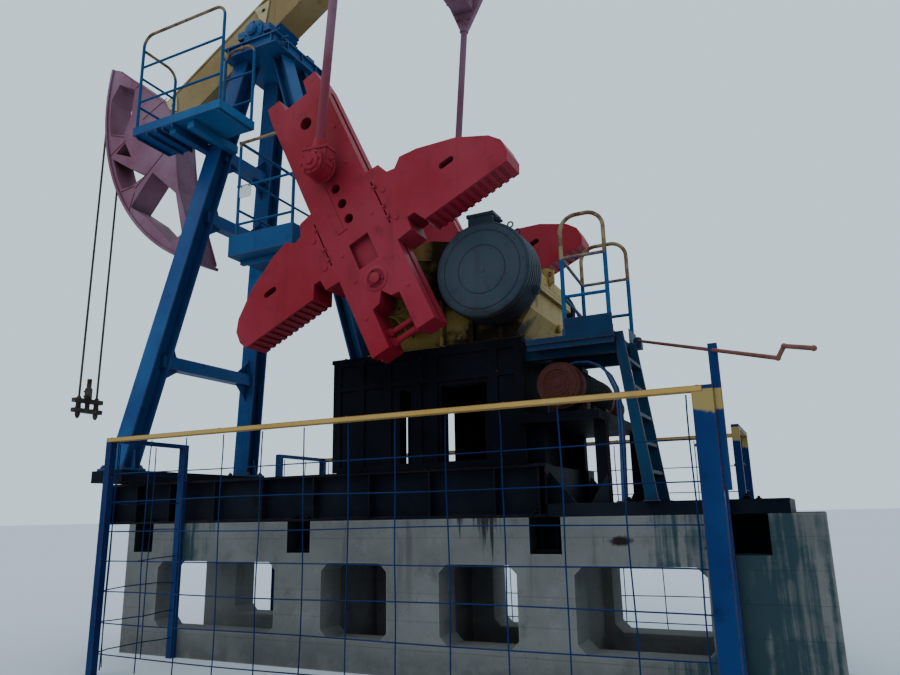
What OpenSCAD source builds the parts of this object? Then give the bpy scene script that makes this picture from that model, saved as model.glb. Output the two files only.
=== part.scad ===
// Beam pumping unit with a horse head, slab cranks and bolted counterweights.
// Origin at the middle of the foundation on the ground, well toward -X, photographed side toward -Y.

/* [Foundation] */
// Length of the concrete foundation
found_l = 7060; // [6800:10:7600]
// Width over both concrete walls
found_w = 1560; // [1500:10:1700]
// Height of the foundation above the ground
found_h = 1350; // [1250:10:1450]
// Thickness of each long wall
wall_t = 330; // [250:10:380]
// Height of the sill under the openings
sill_h = 280; // [150:10:350]
// Height of the openings in the walls
window_h = 680; // [500:10:720]
// Cut at the corners of the openings
window_cut = 75; // [20:5:120]
// Width of the anchor notches in the wall tops
notch_w = 280; // [200:10:320]
// Depth of the anchor notches
notch_h = 300; // [200:10:330]

/* [Skid] */
// Height of the main skid beams
skid_h = 450; // [350:10:500]
// Width of the skid beams
skid_w = 220; // [180:5:260]
// Thickness of the skid flanges and webs
skid_t = 25; // [15:1:40]
// Height of the low frame at the rear
rear_skid_h = 110; // [80:5:150]
// Height of the sill beam under the tower legs
tower_sill_h = 130; // [100:5:160]

/* [Gearbox stand] */
// Height of the gearbox stand
stand_h = 1130; // [1000:10:1200]
// Thickness of the stand plates
stand_t = 130; // [80:5:160]
// Height of the stand openings above the skid
stand_gap_h = 760; // [500:10:850]

/* [Crank] */
// Height of the crankshaft above the ground
shaft_z = 3530; // [3450:10:3620]
// Place of the crankshaft along the skid
shaft_x = 60; // [0:10:120]
// Diameter of the crankshaft
shaft_d = 260; // [200:5:320]
// Distance from the middle to the inner face of a crank
crank_in = 1050; // [1000:10:1080]
// Thickness of a crank
crank_t = 270; // [200:10:290]
// Width of a crank
crank_w = 710; // [640:10:760]
// Reach of the crank from the shaft to the tips of its ears
crank_reach = 2510; // [2300:10:2560]
// Reach of the fork prongs past the shaft
fork_reach = 670; // [500:10:740]
// Radius at which the wrist pin sits
wrist_r = 1320; // [1310:5:1340]
// Distance between the pin holes
pin_step = 190; // [170:5:200]
// Diameter of the pin holes
pin_hole_d = 100; // [80:2:120]
// Diameter of the lifting hole near the crank end
lift_hole_d = 140; // [100:5:200]
// Lean of the crank at rest from straight up
crank_lean = 25.2; // [20:0.1:30]

/* [Counterweights] */
// Thickness of a counterweight
weight_t = 310; // [250:10:330]
// Outer span of a counterweight beyond the crank edge
weight_span = 1300; // [1100:10:1400]
// Distance between neighbouring ridges on the thickness
ridge_step = 78; // [60:2:100]
// Depth of the ridges
ridge_depth = 14; // [8:1:30]

/* [Walking beam] */
// Height of the saddle pivot above the ground
pivot_z = 7550; // [7500:10:7620]
// Distance of the saddle pivot from the middle, toward the well
pivot_x = 2350; // [2300:10:2400]
// Radius of the horse head arc around the pivot
head_r = 3100; // [3050:10:3200]
// Distance from the pivot to the tail pin
tail_r = 2490; // [2470:5:2510]
// Lean of the beam at rest
beam_lean = 32; // [30:0.5:33]
// Depth of the walking beam
beam_h = 550; // [450:10:600]
// Width of the walking beam
beam_w = 400; // [300:10:440]
// Thickness of the beam's plates
beam_t = 30; // [20:1:45]
// Height of the beam underside above the pivot
beam_lift = 110; // [105:5:150]
// Width of the horse head
head_w = 360; // [320:10:420]
// Thickness of the arc band of the head
head_band = 90; // [60:5:130]

/* [Pitmans] */
// Distance from the middle to the centre of a pitman
pitman_y = 1500; // [1480:5:1540]
// Diameter of a pitman
pitman_d = 92; // [76:2:110]
// Diameter of the wrist bearing
wrist_d = 270; // [220:5:300]
// Gap between the crank face and the wrist pin end
wrist_gap = 20; // [16:1:30]

/* [Gearbox] */
// Width of the gearbox case
case_w = 1120; // [1000:10:1200]
// Length of the gearbox case
case_l = 1740; // [1650:10:1850]
// Diameter of the round slow drive motor
motor_d = 925; // [860:5:960]
// Thickness of the round drive motor
motor_t = 370; // [300:5:375]
// Diameter of the input sheave
sheave_d = 600; // [500:10:680]

/* [Platforms] */
// Height of the handrails
rail_h = 1200; // [1000:10:1250]
// Diameter of the handrail tubes
rail_d = 38; // [30:1:50]
// Height of the platform trays
tray_h = 110; // [80:5:200]

/* [Fence] */
// Distance from the middle to the fence
fence_y = 1760; // [1700:10:1900]
// Height of the fence posts
fence_h = 2150; // [1900:10:2200]
// Width of a fence post
post_w = 70; // [50:5:100]
// Diameter of the mesh wires
wire_d = 12; // [8:1:16]
// Distance between upright mesh wires
wire_step_x = 460; // [400:10:520]
// Distance between level mesh wires
wire_step_z = 330; // [260:10:400]

/* [Hidden] */

crank_out = crank_in + crank_t;
crank_half = crank_w / 2;
cross_t = 300;
cross_w = 120;
cross_places = [-3800, -3000, -1700, -600, 500, 1300];
skid_z = found_h;
skid_top = skid_z + skid_h;
skid_y = found_w / 2 - skid_w / 2;
skid_front = -found_l / 2 - 410;
skid_rear = found_l / 2 - 2110;
rear_end = found_l / 2 - 230;
stand_top = skid_top + stand_h;
stand_x0 = -720;
stand_x1 = 1250;
stand_sill = 60;
top_t = 40;
near_gaps = [[0, 120], [445, 465]];
far_gaps = [[-250, 205], [267, 183]];
case_x0 = -450;
foot_t = 50;
split_t = 40;
rib_places = [-200, 380, 700, 1000];
shaft_gap = 0.3;
boss_y = 980;
boss_d = 560;
fin_count = 7;
fin_step = 45;
leg_foot_x = -3460;
leg_foot_y = 1000;
leg_top_x = -2600;
leg_top_y = 290;
leg_w = 230;
leg_t = 22;
leg_z0 = skid_top + tower_sill_h;
head_plate_t = 160;
head_top_z = pivot_z - 175;
leg_z1 = head_top_z - head_plate_t;
rear_foot_x = -600;
rear_foot_y = 480;
rear_top_x = -2080;
rear_top_y = 200;
strut_heights = [3200, 5050, 5900];
strut_w = 150;
bearing_w = 140;
bearing_d = 320;
saddle_d = 160;
up_x0 = -3560;
up_x1 = -2150;
up_y0 = -1190;
up_y1 = -595;
up_z = 6120;
low_x0 = -2250;
low_x1 = -1330;
low_y0 = -820;
low_y1 = 820;
low_z = 4560;
low_h = 250;
serv_x0 = 1340;
serv_x1 = 2120;
serv_y0 = -880;
serv_y1 = 60;
serv_z = 2870;
kick_h = 150;
serv_rail_x = 1700;
serv_rail_h = 1100;
up_rail_h = 1400;
serv_levels = [0.32, 0.645];
ladder_y0 = -800;
ladder_y1 = -260;
ladder_run = 240;
ladder_w = 100;
ladder_steps = 5;
input_x = 990;
input_z = shaft_z + 30;
belt_y = 900;
belt_w = 100;
belt_t = 14;
belt_motor_x = 1640;
belt_motor_z = 2440;
belt_motor_r = 200;
motor_seat_l = 320;
motor_seat_y = [-900, 700];
motor_leg_w = 100;
pulley_r = 110;
fence_x0 = -2730;
fence_x1 = 2850;
fence_in = found_w / 2 + post_w / 2;
rail_t = 40;
shaft_end_d = 190;
wrist_pin_d = 120;
tail_pin_d = 110;
tail_drop = 110;
head_x = -1750;
head_a = 42.5;
head_low = 38.5;
beam_end = 2720;
beam_lip = 25;
tail_x = sqrt(tail_r * tail_r - tail_drop * tail_drop);
tail_dir = atan2(-tail_drop, tail_x) + beam_lean;
tail_px = -pivot_x + tail_r * cos(tail_dir);
tail_pz = pivot_z + tail_r * sin(tail_dir);
wrist_px = shaft_x - wrist_r * sin(crank_lean);
wrist_pz = shaft_z + wrist_r * cos(crank_lean);
pitman_lean = atan2(tail_px - wrist_px, tail_pz - wrist_pz);
pitman_l = norm([tail_px - wrist_px, tail_pz - wrist_pz]);
well_x = -pivot_x - head_r;
carrier_z = 2850;
carrier_h = 195;
carrier_bar_h = 58;
carrier_l = 440;
carrier_w = 80;
socket_d = 68;
socket_drop = 40;
sleeve_d = 64;
clamp_d = 100;
clamp_h = 140;
clamp_taper = 30;
clamp_top = 115;
rod_bore_d = 40;
cable_y = 140;
cable_d = 30;
brake_d = 26;
brake_hold = 0.6675;
brake_in = [2160, -154, 2917];
brake_out = [3381, -2560, 2174];
brake_arm = [37, 0, 62];
brake_grip = [136, -240, -75];

red = [0.72, 0.20, 0.22];
faded_red = [0.62, 0.32, 0.34];
blue = [0.05, 0.22, 0.45];
light_blue = [0.10, 0.36, 0.55];
ochre = [0.80, 0.65, 0.30];
navy = [0.07, 0.08, 0.12];
slate = [0.24, 0.30, 0.36];
stone = [0.55, 0.55, 0.54];

// Straight bar of round section from p to q
module bar(p, q, d, sides = 16)
{
    v = q - p;
    translate(p)
        rotate([0, acos(v[2] / norm(v)), atan2(v[1], v[0])])
            cylinder(d = d, h = norm(v), $fn = sides);
}

// Rolled I section along +Z, flanges square to Y
module i_beam(l, w, h, t)
{
    translate([-w / 2, -h / 2, 0]) cube([w, t, l]);
    translate([-w / 2, h / 2 - t, 0]) cube([w, t, l]);
    translate([-t / 2, -h / 2 + t / 2, 0]) cube([t, h - t, l]);
}

// Rolled I section from p to q, turned about its own length by spin
module i_bar(p, q, w, h, t, spin = 0)
{
    v = q - p;
    translate(p)
        rotate([0, acos(v[2] / norm(v)), atan2(v[1], v[0])])
            rotate([0, 0, spin])
                i_beam(norm(v), w, h, t);
}

// Flat outline drawn in X and Z, given its thickness along Y, centred on y
module plate_xz(points, y, t)
{
    translate([0, y + t / 2, 0])
        rotate([90, 0, 0])
            linear_extrude(t)
                polygon(points);
}

// Round shape along Y from y0 to y1
module round_y(y0, y1, d, sides = 64)
{
    translate([0, y1, 0])
        rotate([90, 0, 0])
            cylinder(d = d, h = y1 - y0, $fn = sides);
}

// Box from its low corner to its high corner
module box(low, high)
{
    translate(low) cube(high - low);
}

// The foundation: two pierced walls joined by cross walls
windows = [[490 - found_l / 2, 1600], [-880, 730], [390, 740], [found_l / 2 - 1900, 1040]];
notches = [240 - found_l / 2, -1160, 1400, found_l / 2 - 530];

module wall_window(x, w)
{
    c = window_cut;
    translate([x, wall_t + 1, sill_h])
        rotate([90, 0, 0])
            linear_extrude(wall_t + 2)
                polygon([[c, 0], [w - c, 0], [w, c], [w, window_h - c],
                         [w - c, window_h], [c, window_h], [0, window_h - c], [0, c]]);
}

module foundation_wall()
{
    difference()
    {
        translate([-found_l / 2, 0, 0]) cube([found_l, wall_t, found_h]);
        for (w = windows) wall_window(w[0], w[1]);
        for (x = notches)
            translate([x - notch_w / 2, -1, found_h - notch_h])
                cube([notch_w, wall_t + 2, notch_h + 1]);
    }
}

module near_foundation_wall()
{
    color(stone) translate([0, -found_w / 2, 0]) foundation_wall();
}

module far_foundation_wall()
{
    color(stone) translate([0, found_w / 2 - wall_t, 0]) foundation_wall();
}

module foundation_cross_walls()
{
    inner = found_w - 2 * wall_t;
    lintel_z = sill_h + window_h;
    color(stone)
    {
        translate([-found_l / 2, -inner / 2, lintel_z]) cube([cross_t, inner, found_h - lintel_z]);
        for (x = [-1310, -cross_t / 2, 1240, found_l / 2 - cross_t])
            translate([x, -inner / 2, 0]) cube([cross_t, inner, found_h]);
    }
}

// The skid: two deep I beams, cross members between them, a low frame at the rear
module skid_beam(y)
{
    z0 = skid_z;
    z1 = skid_top;
    color(navy)
    {
        box([skid_front, y - skid_w / 2, z0], [skid_rear, y + skid_w / 2, z0 + skid_t]);
        box([skid_front, y - skid_t / 2, z0 + skid_t], [skid_rear, y + skid_t / 2, z1 - skid_t]);
        box([skid_front, y - skid_w / 2, z1 - skid_t], [skid_rear, y + skid_w / 2, z1]);
    }
}

module near_skid_beam() { skid_beam(-skid_y); }

module far_skid_beam() { skid_beam(skid_y); }

module skid_crossmembers()
{
    reach = skid_y - skid_w / 2;
    color(navy)
        for (x = cross_places)
            box([x - cross_w / 2, -reach, skid_z], [x + cross_w / 2, reach, skid_top]);
}

module rear_skid_frame()
{
    z1 = skid_z + rear_skid_h;
    color(navy)
    {
        for (y = [-skid_y, skid_y])
            box([skid_rear, y - skid_w / 2, skid_z], [rear_end, y + skid_w / 2, z1]);
        for (x = [serv_x1 + 110, rear_end - cross_w])
            box([x, -skid_y + skid_w / 2, skid_z], [x + cross_w, skid_y - skid_w / 2, z1]);
    }
}

module tower_sill()
{
    color(navy)
        box([leg_foot_x - 240, -leg_foot_y - 200, skid_top],
            [leg_foot_x + 240, leg_foot_y + 200, leg_z0]);
}

// The gearbox stand: two pierced sides, end walls and a top plate
module stand_side(y0, x0, gaps)
{
    difference()
    {
        box([x0, y0, skid_top], [stand_x1, y0 + stand_t, stand_top - top_t]);
        for (g = gaps)
            box([g[0], y0 - 1, skid_top + stand_sill], [g[0] + g[1], y0 + stand_t + 1, skid_top + stand_gap_h]);
    }
}

module gearbox_stand()
{
    half = found_w / 2;
    color(navy)
    {
        stand_side(-half, stand_x0, near_gaps);
        stand_side(half - stand_t, stand_x0, far_gaps);
        box([stand_x1 - stand_t, -half + stand_t, skid_top], [stand_x1, half - stand_t, stand_top - top_t]);
        box([stand_x0, -half + stand_t, stand_top - 3 * stand_t],
            [stand_x0 + stand_t, half - stand_t, stand_top - top_t]);
        box([stand_x0 - 60, -half - 20, stand_top - top_t], [stand_x1 + 20, half + 20, stand_top]);
    }
}

// The gearbox: ribbed lower case, arched cover, bearing bosses round the crankshaft
module shaft_bore()
{
    translate([shaft_x, 0, shaft_z]) round_y(-crank_in, crank_in, shaft_d + 2 * shaft_gap);
}

module gearbox_case()
{
    x0 = case_x0;
    x1 = case_x0 + case_l;
    half = case_w / 2;
    z0 = stand_top;
    color(ochre)
        difference()
        {
            union()
            {
                plate_xz([[x0 + 80, z0 + foot_t], [x0, shaft_z - split_t], [x1, shaft_z - split_t],
                          [x1, z0 + 330], [x1 - 190, z0 + foot_t]], 0, case_w);
                box([x0, -half - 90, z0], [stand_x1, half + 90, z0 + foot_t]);
                box([x0 - 40, -half - 70, shaft_z - split_t], [x1 + 40, half + 70, shaft_z]);
                for (x = rib_places)
                    for (s = [-1, 1])
                        box([x - 20, s * half - 65, z0 + foot_t], [x + 20, s * half + 65, shaft_z - split_t]);
                intersection()
                {
                    translate([shaft_x, 0, shaft_z]) round_y(-boss_y, boss_y, boss_d);
                    box([x0, -boss_y, z0], [x1, boss_y, shaft_z]);
                }
            }
            shaft_bore();
        }
}

module gearbox_cover()
{
    x0 = case_x0;
    x1 = case_x0 + case_l;
    half = case_w / 2;
    color(ochre)
        difference()
        {
            union()
            {
                box([x0 - 40, -half - 70, shaft_z], [x1 + 40, half + 70, shaft_z + split_t]);
                plate_xz([[x0 + 20, shaft_z + split_t], [x0 + 60, shaft_z + 330], [x0 + 240, shaft_z + 560],
                          [shaft_x + 180, shaft_z + 600], [input_x - 150, shaft_z + 470],
                          [x1 - 170, shaft_z + 380], [x1 - 20, shaft_z + 200], [x1 - 20, shaft_z + split_t]],
                         0, case_w - 60);
                intersection()
                {
                    translate([shaft_x, 0, shaft_z]) round_y(-boss_y, boss_y, boss_d);
                    box([x0, -boss_y, shaft_z], [x1, boss_y, shaft_z + boss_d]);
                }
                translate([x1, 0, shaft_z])
                    plate_xz([[-100, 200], [-20, 120], [40, 160], [40, 290], [-20, 320], [-100, 310]], 100, 40);
            }
            shaft_bore();
            translate([x1, 0, shaft_z + 245]) round_y(0, 200, 50, 32);
        }
}

// Round slow motor on the near end of the gearbox input shaft
module drive_motor()
{
    r = motor_d / 2;
    y1 = -case_w / 2 - 70;
    y0 = y1 - motor_t;
    color(slate)
        translate([input_x, y0, input_z])
            rotate([-90, 0, 0])
            {
                rotate_extrude($fn = 96)
                    polygon(concat([[0, 0], [0.49 * r, 0], [0.49 * r, 6], [0.51 * r, 6], [0.51 * r, 0],
                                    [0.80 * r, 0], [0.80 * r, 6], [0.82 * r, 6], [0.82 * r, 0], [r - 25, 0]],
                                   [for (i = [0 : fin_count - 1])
                                       for (p = [[r, 25 + i * fin_step], [r, 25 + (i + 0.6) * fin_step],
                                                 [r - 14, 25 + (i + 0.6) * fin_step], [r - 14, 25 + (i + 1) * fin_step]])
                                           p],
                                   [[r - 14, motor_t], [0, motor_t]]));
            }
    color(slate)
        box([input_x - 165, y0 + 60, input_z + 0.86 * r], [input_x + 135, y0 + 260, input_z + r + 170]);
}

module input_sheave()
{
    color(navy)
        translate([input_x, 0, input_z])
        {
            round_y(case_w / 2 + 70, belt_y - belt_w / 2, 180);
            difference()
            {
                round_y(belt_y - belt_w / 2, belt_y + belt_w / 2, sheave_d);
                round_y(belt_y + 20, belt_y + belt_w / 2 + 1, sheave_d - 90);
            }
        }
}

// One fixed loop round the sheave and the motor pulley
module drive_belt()
{
    a = [input_x, input_z];
    b = [belt_motor_x, belt_motor_z];
    d = norm(b - a);
    ra = sheave_d / 2 + 1;
    rb = pulley_r + 1;
    open = asin((ra - rb) / d);
    run = d * cos(open);
    color(navy)
        translate([a[0], belt_y + belt_w / 2 - 10, a[1]])
            rotate([90, atan2(a[1] - b[1], b[0] - a[0]), 0])
            {
                for (s = [-1, 1])
                    rotate([0, 0, -s * open])
                        translate([0, s > 0 ? ra : -ra - belt_t, 0]) cube([run, belt_t, belt_w - 20]);
                rotate([0, 0, 90 - open]) belt_arc(ra, 180 + 2 * open);
                translate([d, 0, 0]) rotate([0, 0, -90 + open]) belt_arc(rb, 180 - 2 * open);
            }
}

module belt_arc(r, angle)
{
    rotate_extrude(angle = angle, $fn = 96)
        translate([r, 0]) square([belt_t, belt_w - 20]);
}

module belt_motor()
{
    color("firebrick")
        translate([belt_motor_x, 0, belt_motor_z])
        {
            round_y(-960, -880, 2 * belt_motor_r - 30);
            round_y(-880, -800, 2 * belt_motor_r);
            round_y(-800, 120, 2 * belt_motor_r - 40);
            round_y(120, 200, 2 * belt_motor_r);
            round_y(200, belt_y - belt_w / 2, 60);
            round_y(belt_y - belt_w / 2, belt_y + belt_w / 2, 2 * pulley_r);
            for (y = [-650, 0])
                for (s = [-1, 1])
                    box([s * 130 - 40, y - 60, -belt_motor_r - foot_t / 2], [s * 130 + 40, y + 60, -120]);
        }
}

// Frame of flat bars that carries the belt motor beside the stand
module belt_motor_frame()
{
    z1 = belt_motor_z - belt_motor_r - foot_t / 2;
    x1 = belt_motor_x + motor_seat_l;
    color(navy)
    {
        box([stand_x1, motor_seat_y[0], z1 - 80], [x1, motor_seat_y[1], z1]);
        for (y = [-skid_y, skid_y])
            box([x1 - motor_leg_w, y - motor_leg_w / 2, skid_z + rear_skid_h], [x1, y + motor_leg_w / 2, z1 - 80]);
        box([stand_x1, -skid_y - 60, skid_top], [skid_rear, -skid_y + 60, z1 - 80]);
        box([stand_x1, skid_y - 160, skid_top], [skid_rear, skid_y - 60, z1 - 80]);
    }
}

// The tower: two spread front legs, two rear legs, struts and a head plate
module front_leg(side)
{
    color(blue)
        intersection()
        {
            i_bar([leg_foot_x - (leg_top_x - leg_foot_x) * 0.05, side * (leg_foot_y + (leg_foot_y - leg_top_y) * 0.05),
                   leg_z0 - (leg_z1 - leg_z0) * 0.05],
                  [leg_top_x + (leg_top_x - leg_foot_x) * 0.05, side * (leg_top_y - (leg_foot_y - leg_top_y) * 0.05),
                   leg_z1 + (leg_z1 - leg_z0) * 0.05], leg_w, leg_w, leg_t,
                  -atan2(side * (leg_top_y - leg_foot_y), leg_top_x - leg_foot_x));
            box([-5000, -2000, leg_z0], [0, 2000, leg_z1]);
        }
}

module near_front_leg() { front_leg(-1); }

module far_front_leg() { front_leg(1); }

module rear_legs()
{
    color(blue)
        intersection()
        {
            for (s = [-1, 1])
                i_bar([rear_foot_x + 74, s * (rear_foot_y + 14), stand_top - 220],
                      [rear_top_x - 74, s * (rear_top_y - 14), leg_z1 + 220], 200, 170, leg_t, 90);
            box([-5000, -2000, stand_top], [1000, 2000, leg_z1]);
        }
}

function leg_x(z) = leg_foot_x + (leg_top_x - leg_foot_x) * (z - leg_z0) / (leg_z1 - leg_z0);
function leg_y(z) = leg_foot_y + (leg_top_y - leg_foot_y) * (z - leg_z0) / (leg_z1 - leg_z0);

module tower_struts()
{
    color(blue)
        for (z = strut_heights)
        {
            y = leg_y(z) - leg_w / 2 + 12;
            difference()
            {
                box([leg_x(z) - strut_w / 2, -y - 60, z - strut_w / 2], [leg_x(z) + strut_w / 2, y + 60, z + strut_w / 2]);
                near_front_leg();
                far_front_leg();
            }
        }
}

module tower_head()
{
    z0 = leg_z1;
    z1 = head_top_z;
    color(blue)
        difference()
        {
            union()
            {
                box([-pivot_x - 390, -520, z0], [-pivot_x + 400, 520, z1]);
                for (s = [-1, 1])
                {
                    translate([-pivot_x, 0, pivot_z])
                        round_y(s * 400 - bearing_w / 2, s * 400 + bearing_w / 2, bearing_d);
                    box([-pivot_x - bearing_d / 2, s * 400 - bearing_w / 2, z1],
                        [-pivot_x + bearing_d / 2, s * 400 + bearing_w / 2, pivot_z]);
                }
            }
            translate([-pivot_x, 0, pivot_z]) round_y(-600, 600, saddle_d + 2);
        }
}

// Handrail of upright posts with level tubes between them
module rail_run(a, b, z0, levels, post_at)
{
    for (t = post_at)
        bar([a[0] + (b[0] - a[0]) * t, a[1] + (b[1] - a[1]) * t, z0],
            [a[0] + (b[0] - a[0]) * t, a[1] + (b[1] - a[1]) * t, z0 + rail_h], rail_d, 12);
    for (h = levels)
        bar([a[0], a[1], z0 + h * rail_h], [b[0], b[1], z0 + h * rail_h], rail_d - (h < 1 ? 8 : 0), 12);
}

// Bent tube rail from a to b with rounded upper corners and level rails between its legs,
// or with its far leg alone where it starts in another rail's leg
module hoop(a, b, z0, h, levels, both = true)
{
    l = norm(b - a);
    r = 4 * rail_d;
    translate([a[0], a[1], z0])
        rotate([0, 0, atan2(b[1] - a[1], b[0] - a[0])])
        {
            for (x = both ? [0, l] : [l])
                bar([x, 0, 0], [x, 0, h - r], rail_d);
            bar([both ? r : 0, 0, h], [l - r, 0, h], rail_d);
            translate([l - r, 0, h - r]) rotate([90, 0, 0]) bend(r);
            if (both)
                translate([r, 0, h - r]) rotate([90, -90, 0]) bend(r);
            for (f = levels)
                bar([0, 0, f * h], [l, 0, f * h], rail_d - 8);
        }
}

module bend(r)
{
    rotate_extrude(angle = 90, $fn = 48)
        translate([r, 0]) circle(d = rail_d, $fn = 16);
}

module upper_platform()
{
    color(light_blue)
    {
        difference()
        {
            box([up_x0, up_y0, up_z - tray_h], [up_x1, up_y1, up_z]);
            box([up_x0 + 8, up_y0 + 8, up_z - tray_h + 8], [up_x1 - 8, up_y1 - 8, up_z + 1]);
        }
        difference()
        {
            for (s = [-1, 1])
            {
                x = leg_x(up_z - tray_h) + s * (leg_w / 2 + 30);
                box([x - 50, up_y0 + 60, up_z - tray_h - 100], [x + 50, -leg_y(up_z) + 60, up_z - tray_h]);
            }
            near_front_leg();
        }
    }
}

module upper_handrail()
{
    z0 = up_z - tray_h + 8;
    color(light_blue)
    {
        hoop([up_x0 + 30, up_y0 + 30], [up_x1 - 30, up_y0 + 30], z0, up_rail_h, [0.33, 0.68]);
        hoop([up_x0 + 30, up_y0 + 30], [up_x0 + 30, up_y1 - 30], z0, rail_h, [0.33, 0.67], false);
        hoop([up_x1 - 500, up_y1 - 30], [up_x1 - 30, up_y1 - 30], z0, rail_h, [0.33, 0.67]);
    }
}

module lower_platform()
{
    color(light_blue)
    {
        difference()
        {
            box([low_x0, low_y0, low_z - low_h], [low_x1, low_y1, low_z]);
            box([low_x0 + 8, low_y0 + 8, low_z - low_h + 8], [low_x1 - 8, low_y1 - 8, low_z + 1]);
        }
        difference()
        {
            for (s = [-1, 1])
                box([low_x1, s * 330 - 50, low_z - 150], [low_x1 + 260, s * 330 + 50, low_z - 50]);
            rear_legs();
        }
    }
}

module lower_handrail()
{
    z0 = low_z - low_h + 8;
    color(light_blue)
    {
        rail_run([low_x0 + 30, low_y0 + 30], [low_x1 - 30, low_y0 + 30], z0, [0.4, 0.7, 1], [0, 0.6, 1]);
        rail_run([low_x0 + 30, low_y0 + 30], [low_x0 + 30, low_y1 - 30], z0, [0.4, 0.7, 1], [1]);
        rail_run([low_x0 + 30, low_y1 - 30], [low_x1 - 30, low_y1 - 30], z0, [0.4, 0.7, 1], [0.6, 1]);
    }
}

module service_platform()
{
    color(light_blue)
        difference()
        {
            union()
            {
                box([serv_x0, serv_y0, serv_z - 50], [serv_x1, serv_y1, serv_z]);
                box([serv_rail_x, serv_y0, serv_z], [serv_x1, serv_y0 + 6, serv_z + kick_h]);
                box([serv_x1 - 6, ladder_y1 + 20, serv_z], [serv_x1, serv_y1, serv_z + kick_h]);
                for (y = [serv_y0 + 180, serv_y1 - 160])
                    box([stand_x1, y, serv_z - 150], [serv_x1, y + 60, serv_z - 50]);
                brake_ring(30, 50);
                box([serv_x1 - 20, -250, serv_z - 50], [serv_x1 + 100, -160, serv_z + 10]);
            }
            brake_line(-20, brake_d + 2 * shaft_gap);
        }
}

module service_handrail()
{
    color(light_blue)
    {
        near = [serv_rail_x, serv_y0 + 30];
        far = [serv_rail_x - 60, serv_y1 - 30];
        hoop(near, [serv_x1 - 10 - rail_d / 2, near[1]], serv_z, serv_rail_h, serv_levels);
        hoop(far, [serv_x1 - 10 - rail_d / 2, far[1]], serv_z, serv_rail_h, serv_levels);
        for (f = serv_levels)
            bar([near[0], near[1], serv_z + f * serv_rail_h], [far[0], far[1], serv_z + f * serv_rail_h], rail_d - 8);
    }
}

// Steep ladder from the low rear frame up to the service platform
module service_ladder()
{
    z0 = skid_z + rear_skid_h;
    rise = serv_z - z0;
    x0 = serv_x1;
    x1 = serv_x1 + ladder_run;
    color(light_blue)
    {
        for (y = [ladder_y0, ladder_y1 - 30])
            plate_xz([[x0, serv_z], [x0, serv_z - 2 * ladder_w], [x1 - ladder_w, z0], [x1, z0],
                      [x0 + 0.6 * ladder_w, serv_z]], y + 15, 30);
        for (i = [1 : ladder_steps])
        {
            f = i / (ladder_steps + 1);
            x = x1 - ladder_w / 2 - (ladder_run - 0.7 * ladder_w) * f;
            box([x - 40, ladder_y0 + 30, z0 + rise * f - 15], [x + 40, ladder_y1 - 30, z0 + rise * f + 15]);
        }
    }
}

// Guard fence round the cranks: welded mesh, posts with short blue rails, long flat top rails
module mesh(l)
{
    n = floor(l / wire_step_x);
    first = (l - n * wire_step_x) / 2;
    for (i = [0 : n])
        bar([first + i * wire_step_x, 0, 60], [first + i * wire_step_x, 0, fence_h - 20], wire_d, 6);
    for (z = [160 : wire_step_z : fence_h - 60])
        bar([0, 0, z], [l, 0, z], wire_d, 6);
}

module near_fence_mesh()
{
    color(blue) translate([fence_x0 + post_w / 2, -fence_y, 0]) mesh(fence_x1 - fence_x0 - post_w);
}

module far_fence_mesh()
{
    color(blue) translate([fence_x0 + post_w / 2, fence_y, 0]) mesh(fence_x1 - fence_x0 - post_w);
}

module end_fence_mesh()
{
    l = fence_y - fence_in - post_w;
    color(blue)
        for (x = [fence_x0, fence_x1])
            for (y = [-fence_y + post_w / 2, fence_in + post_w / 2])
                translate([x, y, 0]) rotate([0, 0, 90]) mesh(l);
}

module fence_posts()
{
    w = post_w / 2;
    hold = brake_in + (brake_out - brake_in) * brake_hold;
    color(blue)
        difference()
        {
            union()
            {
                for (x = [fence_x0, fence_x1])
                    for (y = [-fence_y, -fence_in, fence_in, fence_y])
                        box([x - w, y - w, 0], [x + w, y + w, fence_h]);
                box([fence_x1 + w, -fence_y - w, 0], [fence_x1 + 3 * w, -fence_y + w, fence_h + rail_t]);
                for (x = [fence_x0, fence_x1])
                    for (s = [-1, 1])
                        box([x - w, min(s * (fence_in - w), s * (fence_y - w)), fence_h],
                            [x + w, max(s * (fence_in - w), s * (fence_y - w)), fence_h + rail_t]);
                box([hold[0] - 30, hold[1] - 14, 0.7 * fence_h], [hold[0] + 30, hold[1] + 14, hold[2] + 45]);
            }
            brake_line(-20, brake_d + 2 * shaft_gap);
        }
}

module fence_rails()
{
    w = post_w / 2;
    color(ochre)
        for (y = [-fence_y, fence_y])
            box([fence_x0 - w, y - w, fence_h], [fence_x1 + w, y + w, fence_h + rail_t]);
}

// The turning group: shaft, two slab cranks and four counterweights
module at_crank()
{
    translate([shaft_x, 0, shaft_z]) rotate([0, -crank_lean, 0]) children();
}

module crankshaft()
{
    color(red)
        at_crank()
        {
            round_y(-crank_in, crank_in, shaft_d);
            for (s = [-1, 1])
                round_y(min(s * crank_in, s * (crank_out + 8)), max(s * crank_in, s * (crank_out + 8)), shaft_end_d);
        }
}

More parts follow.
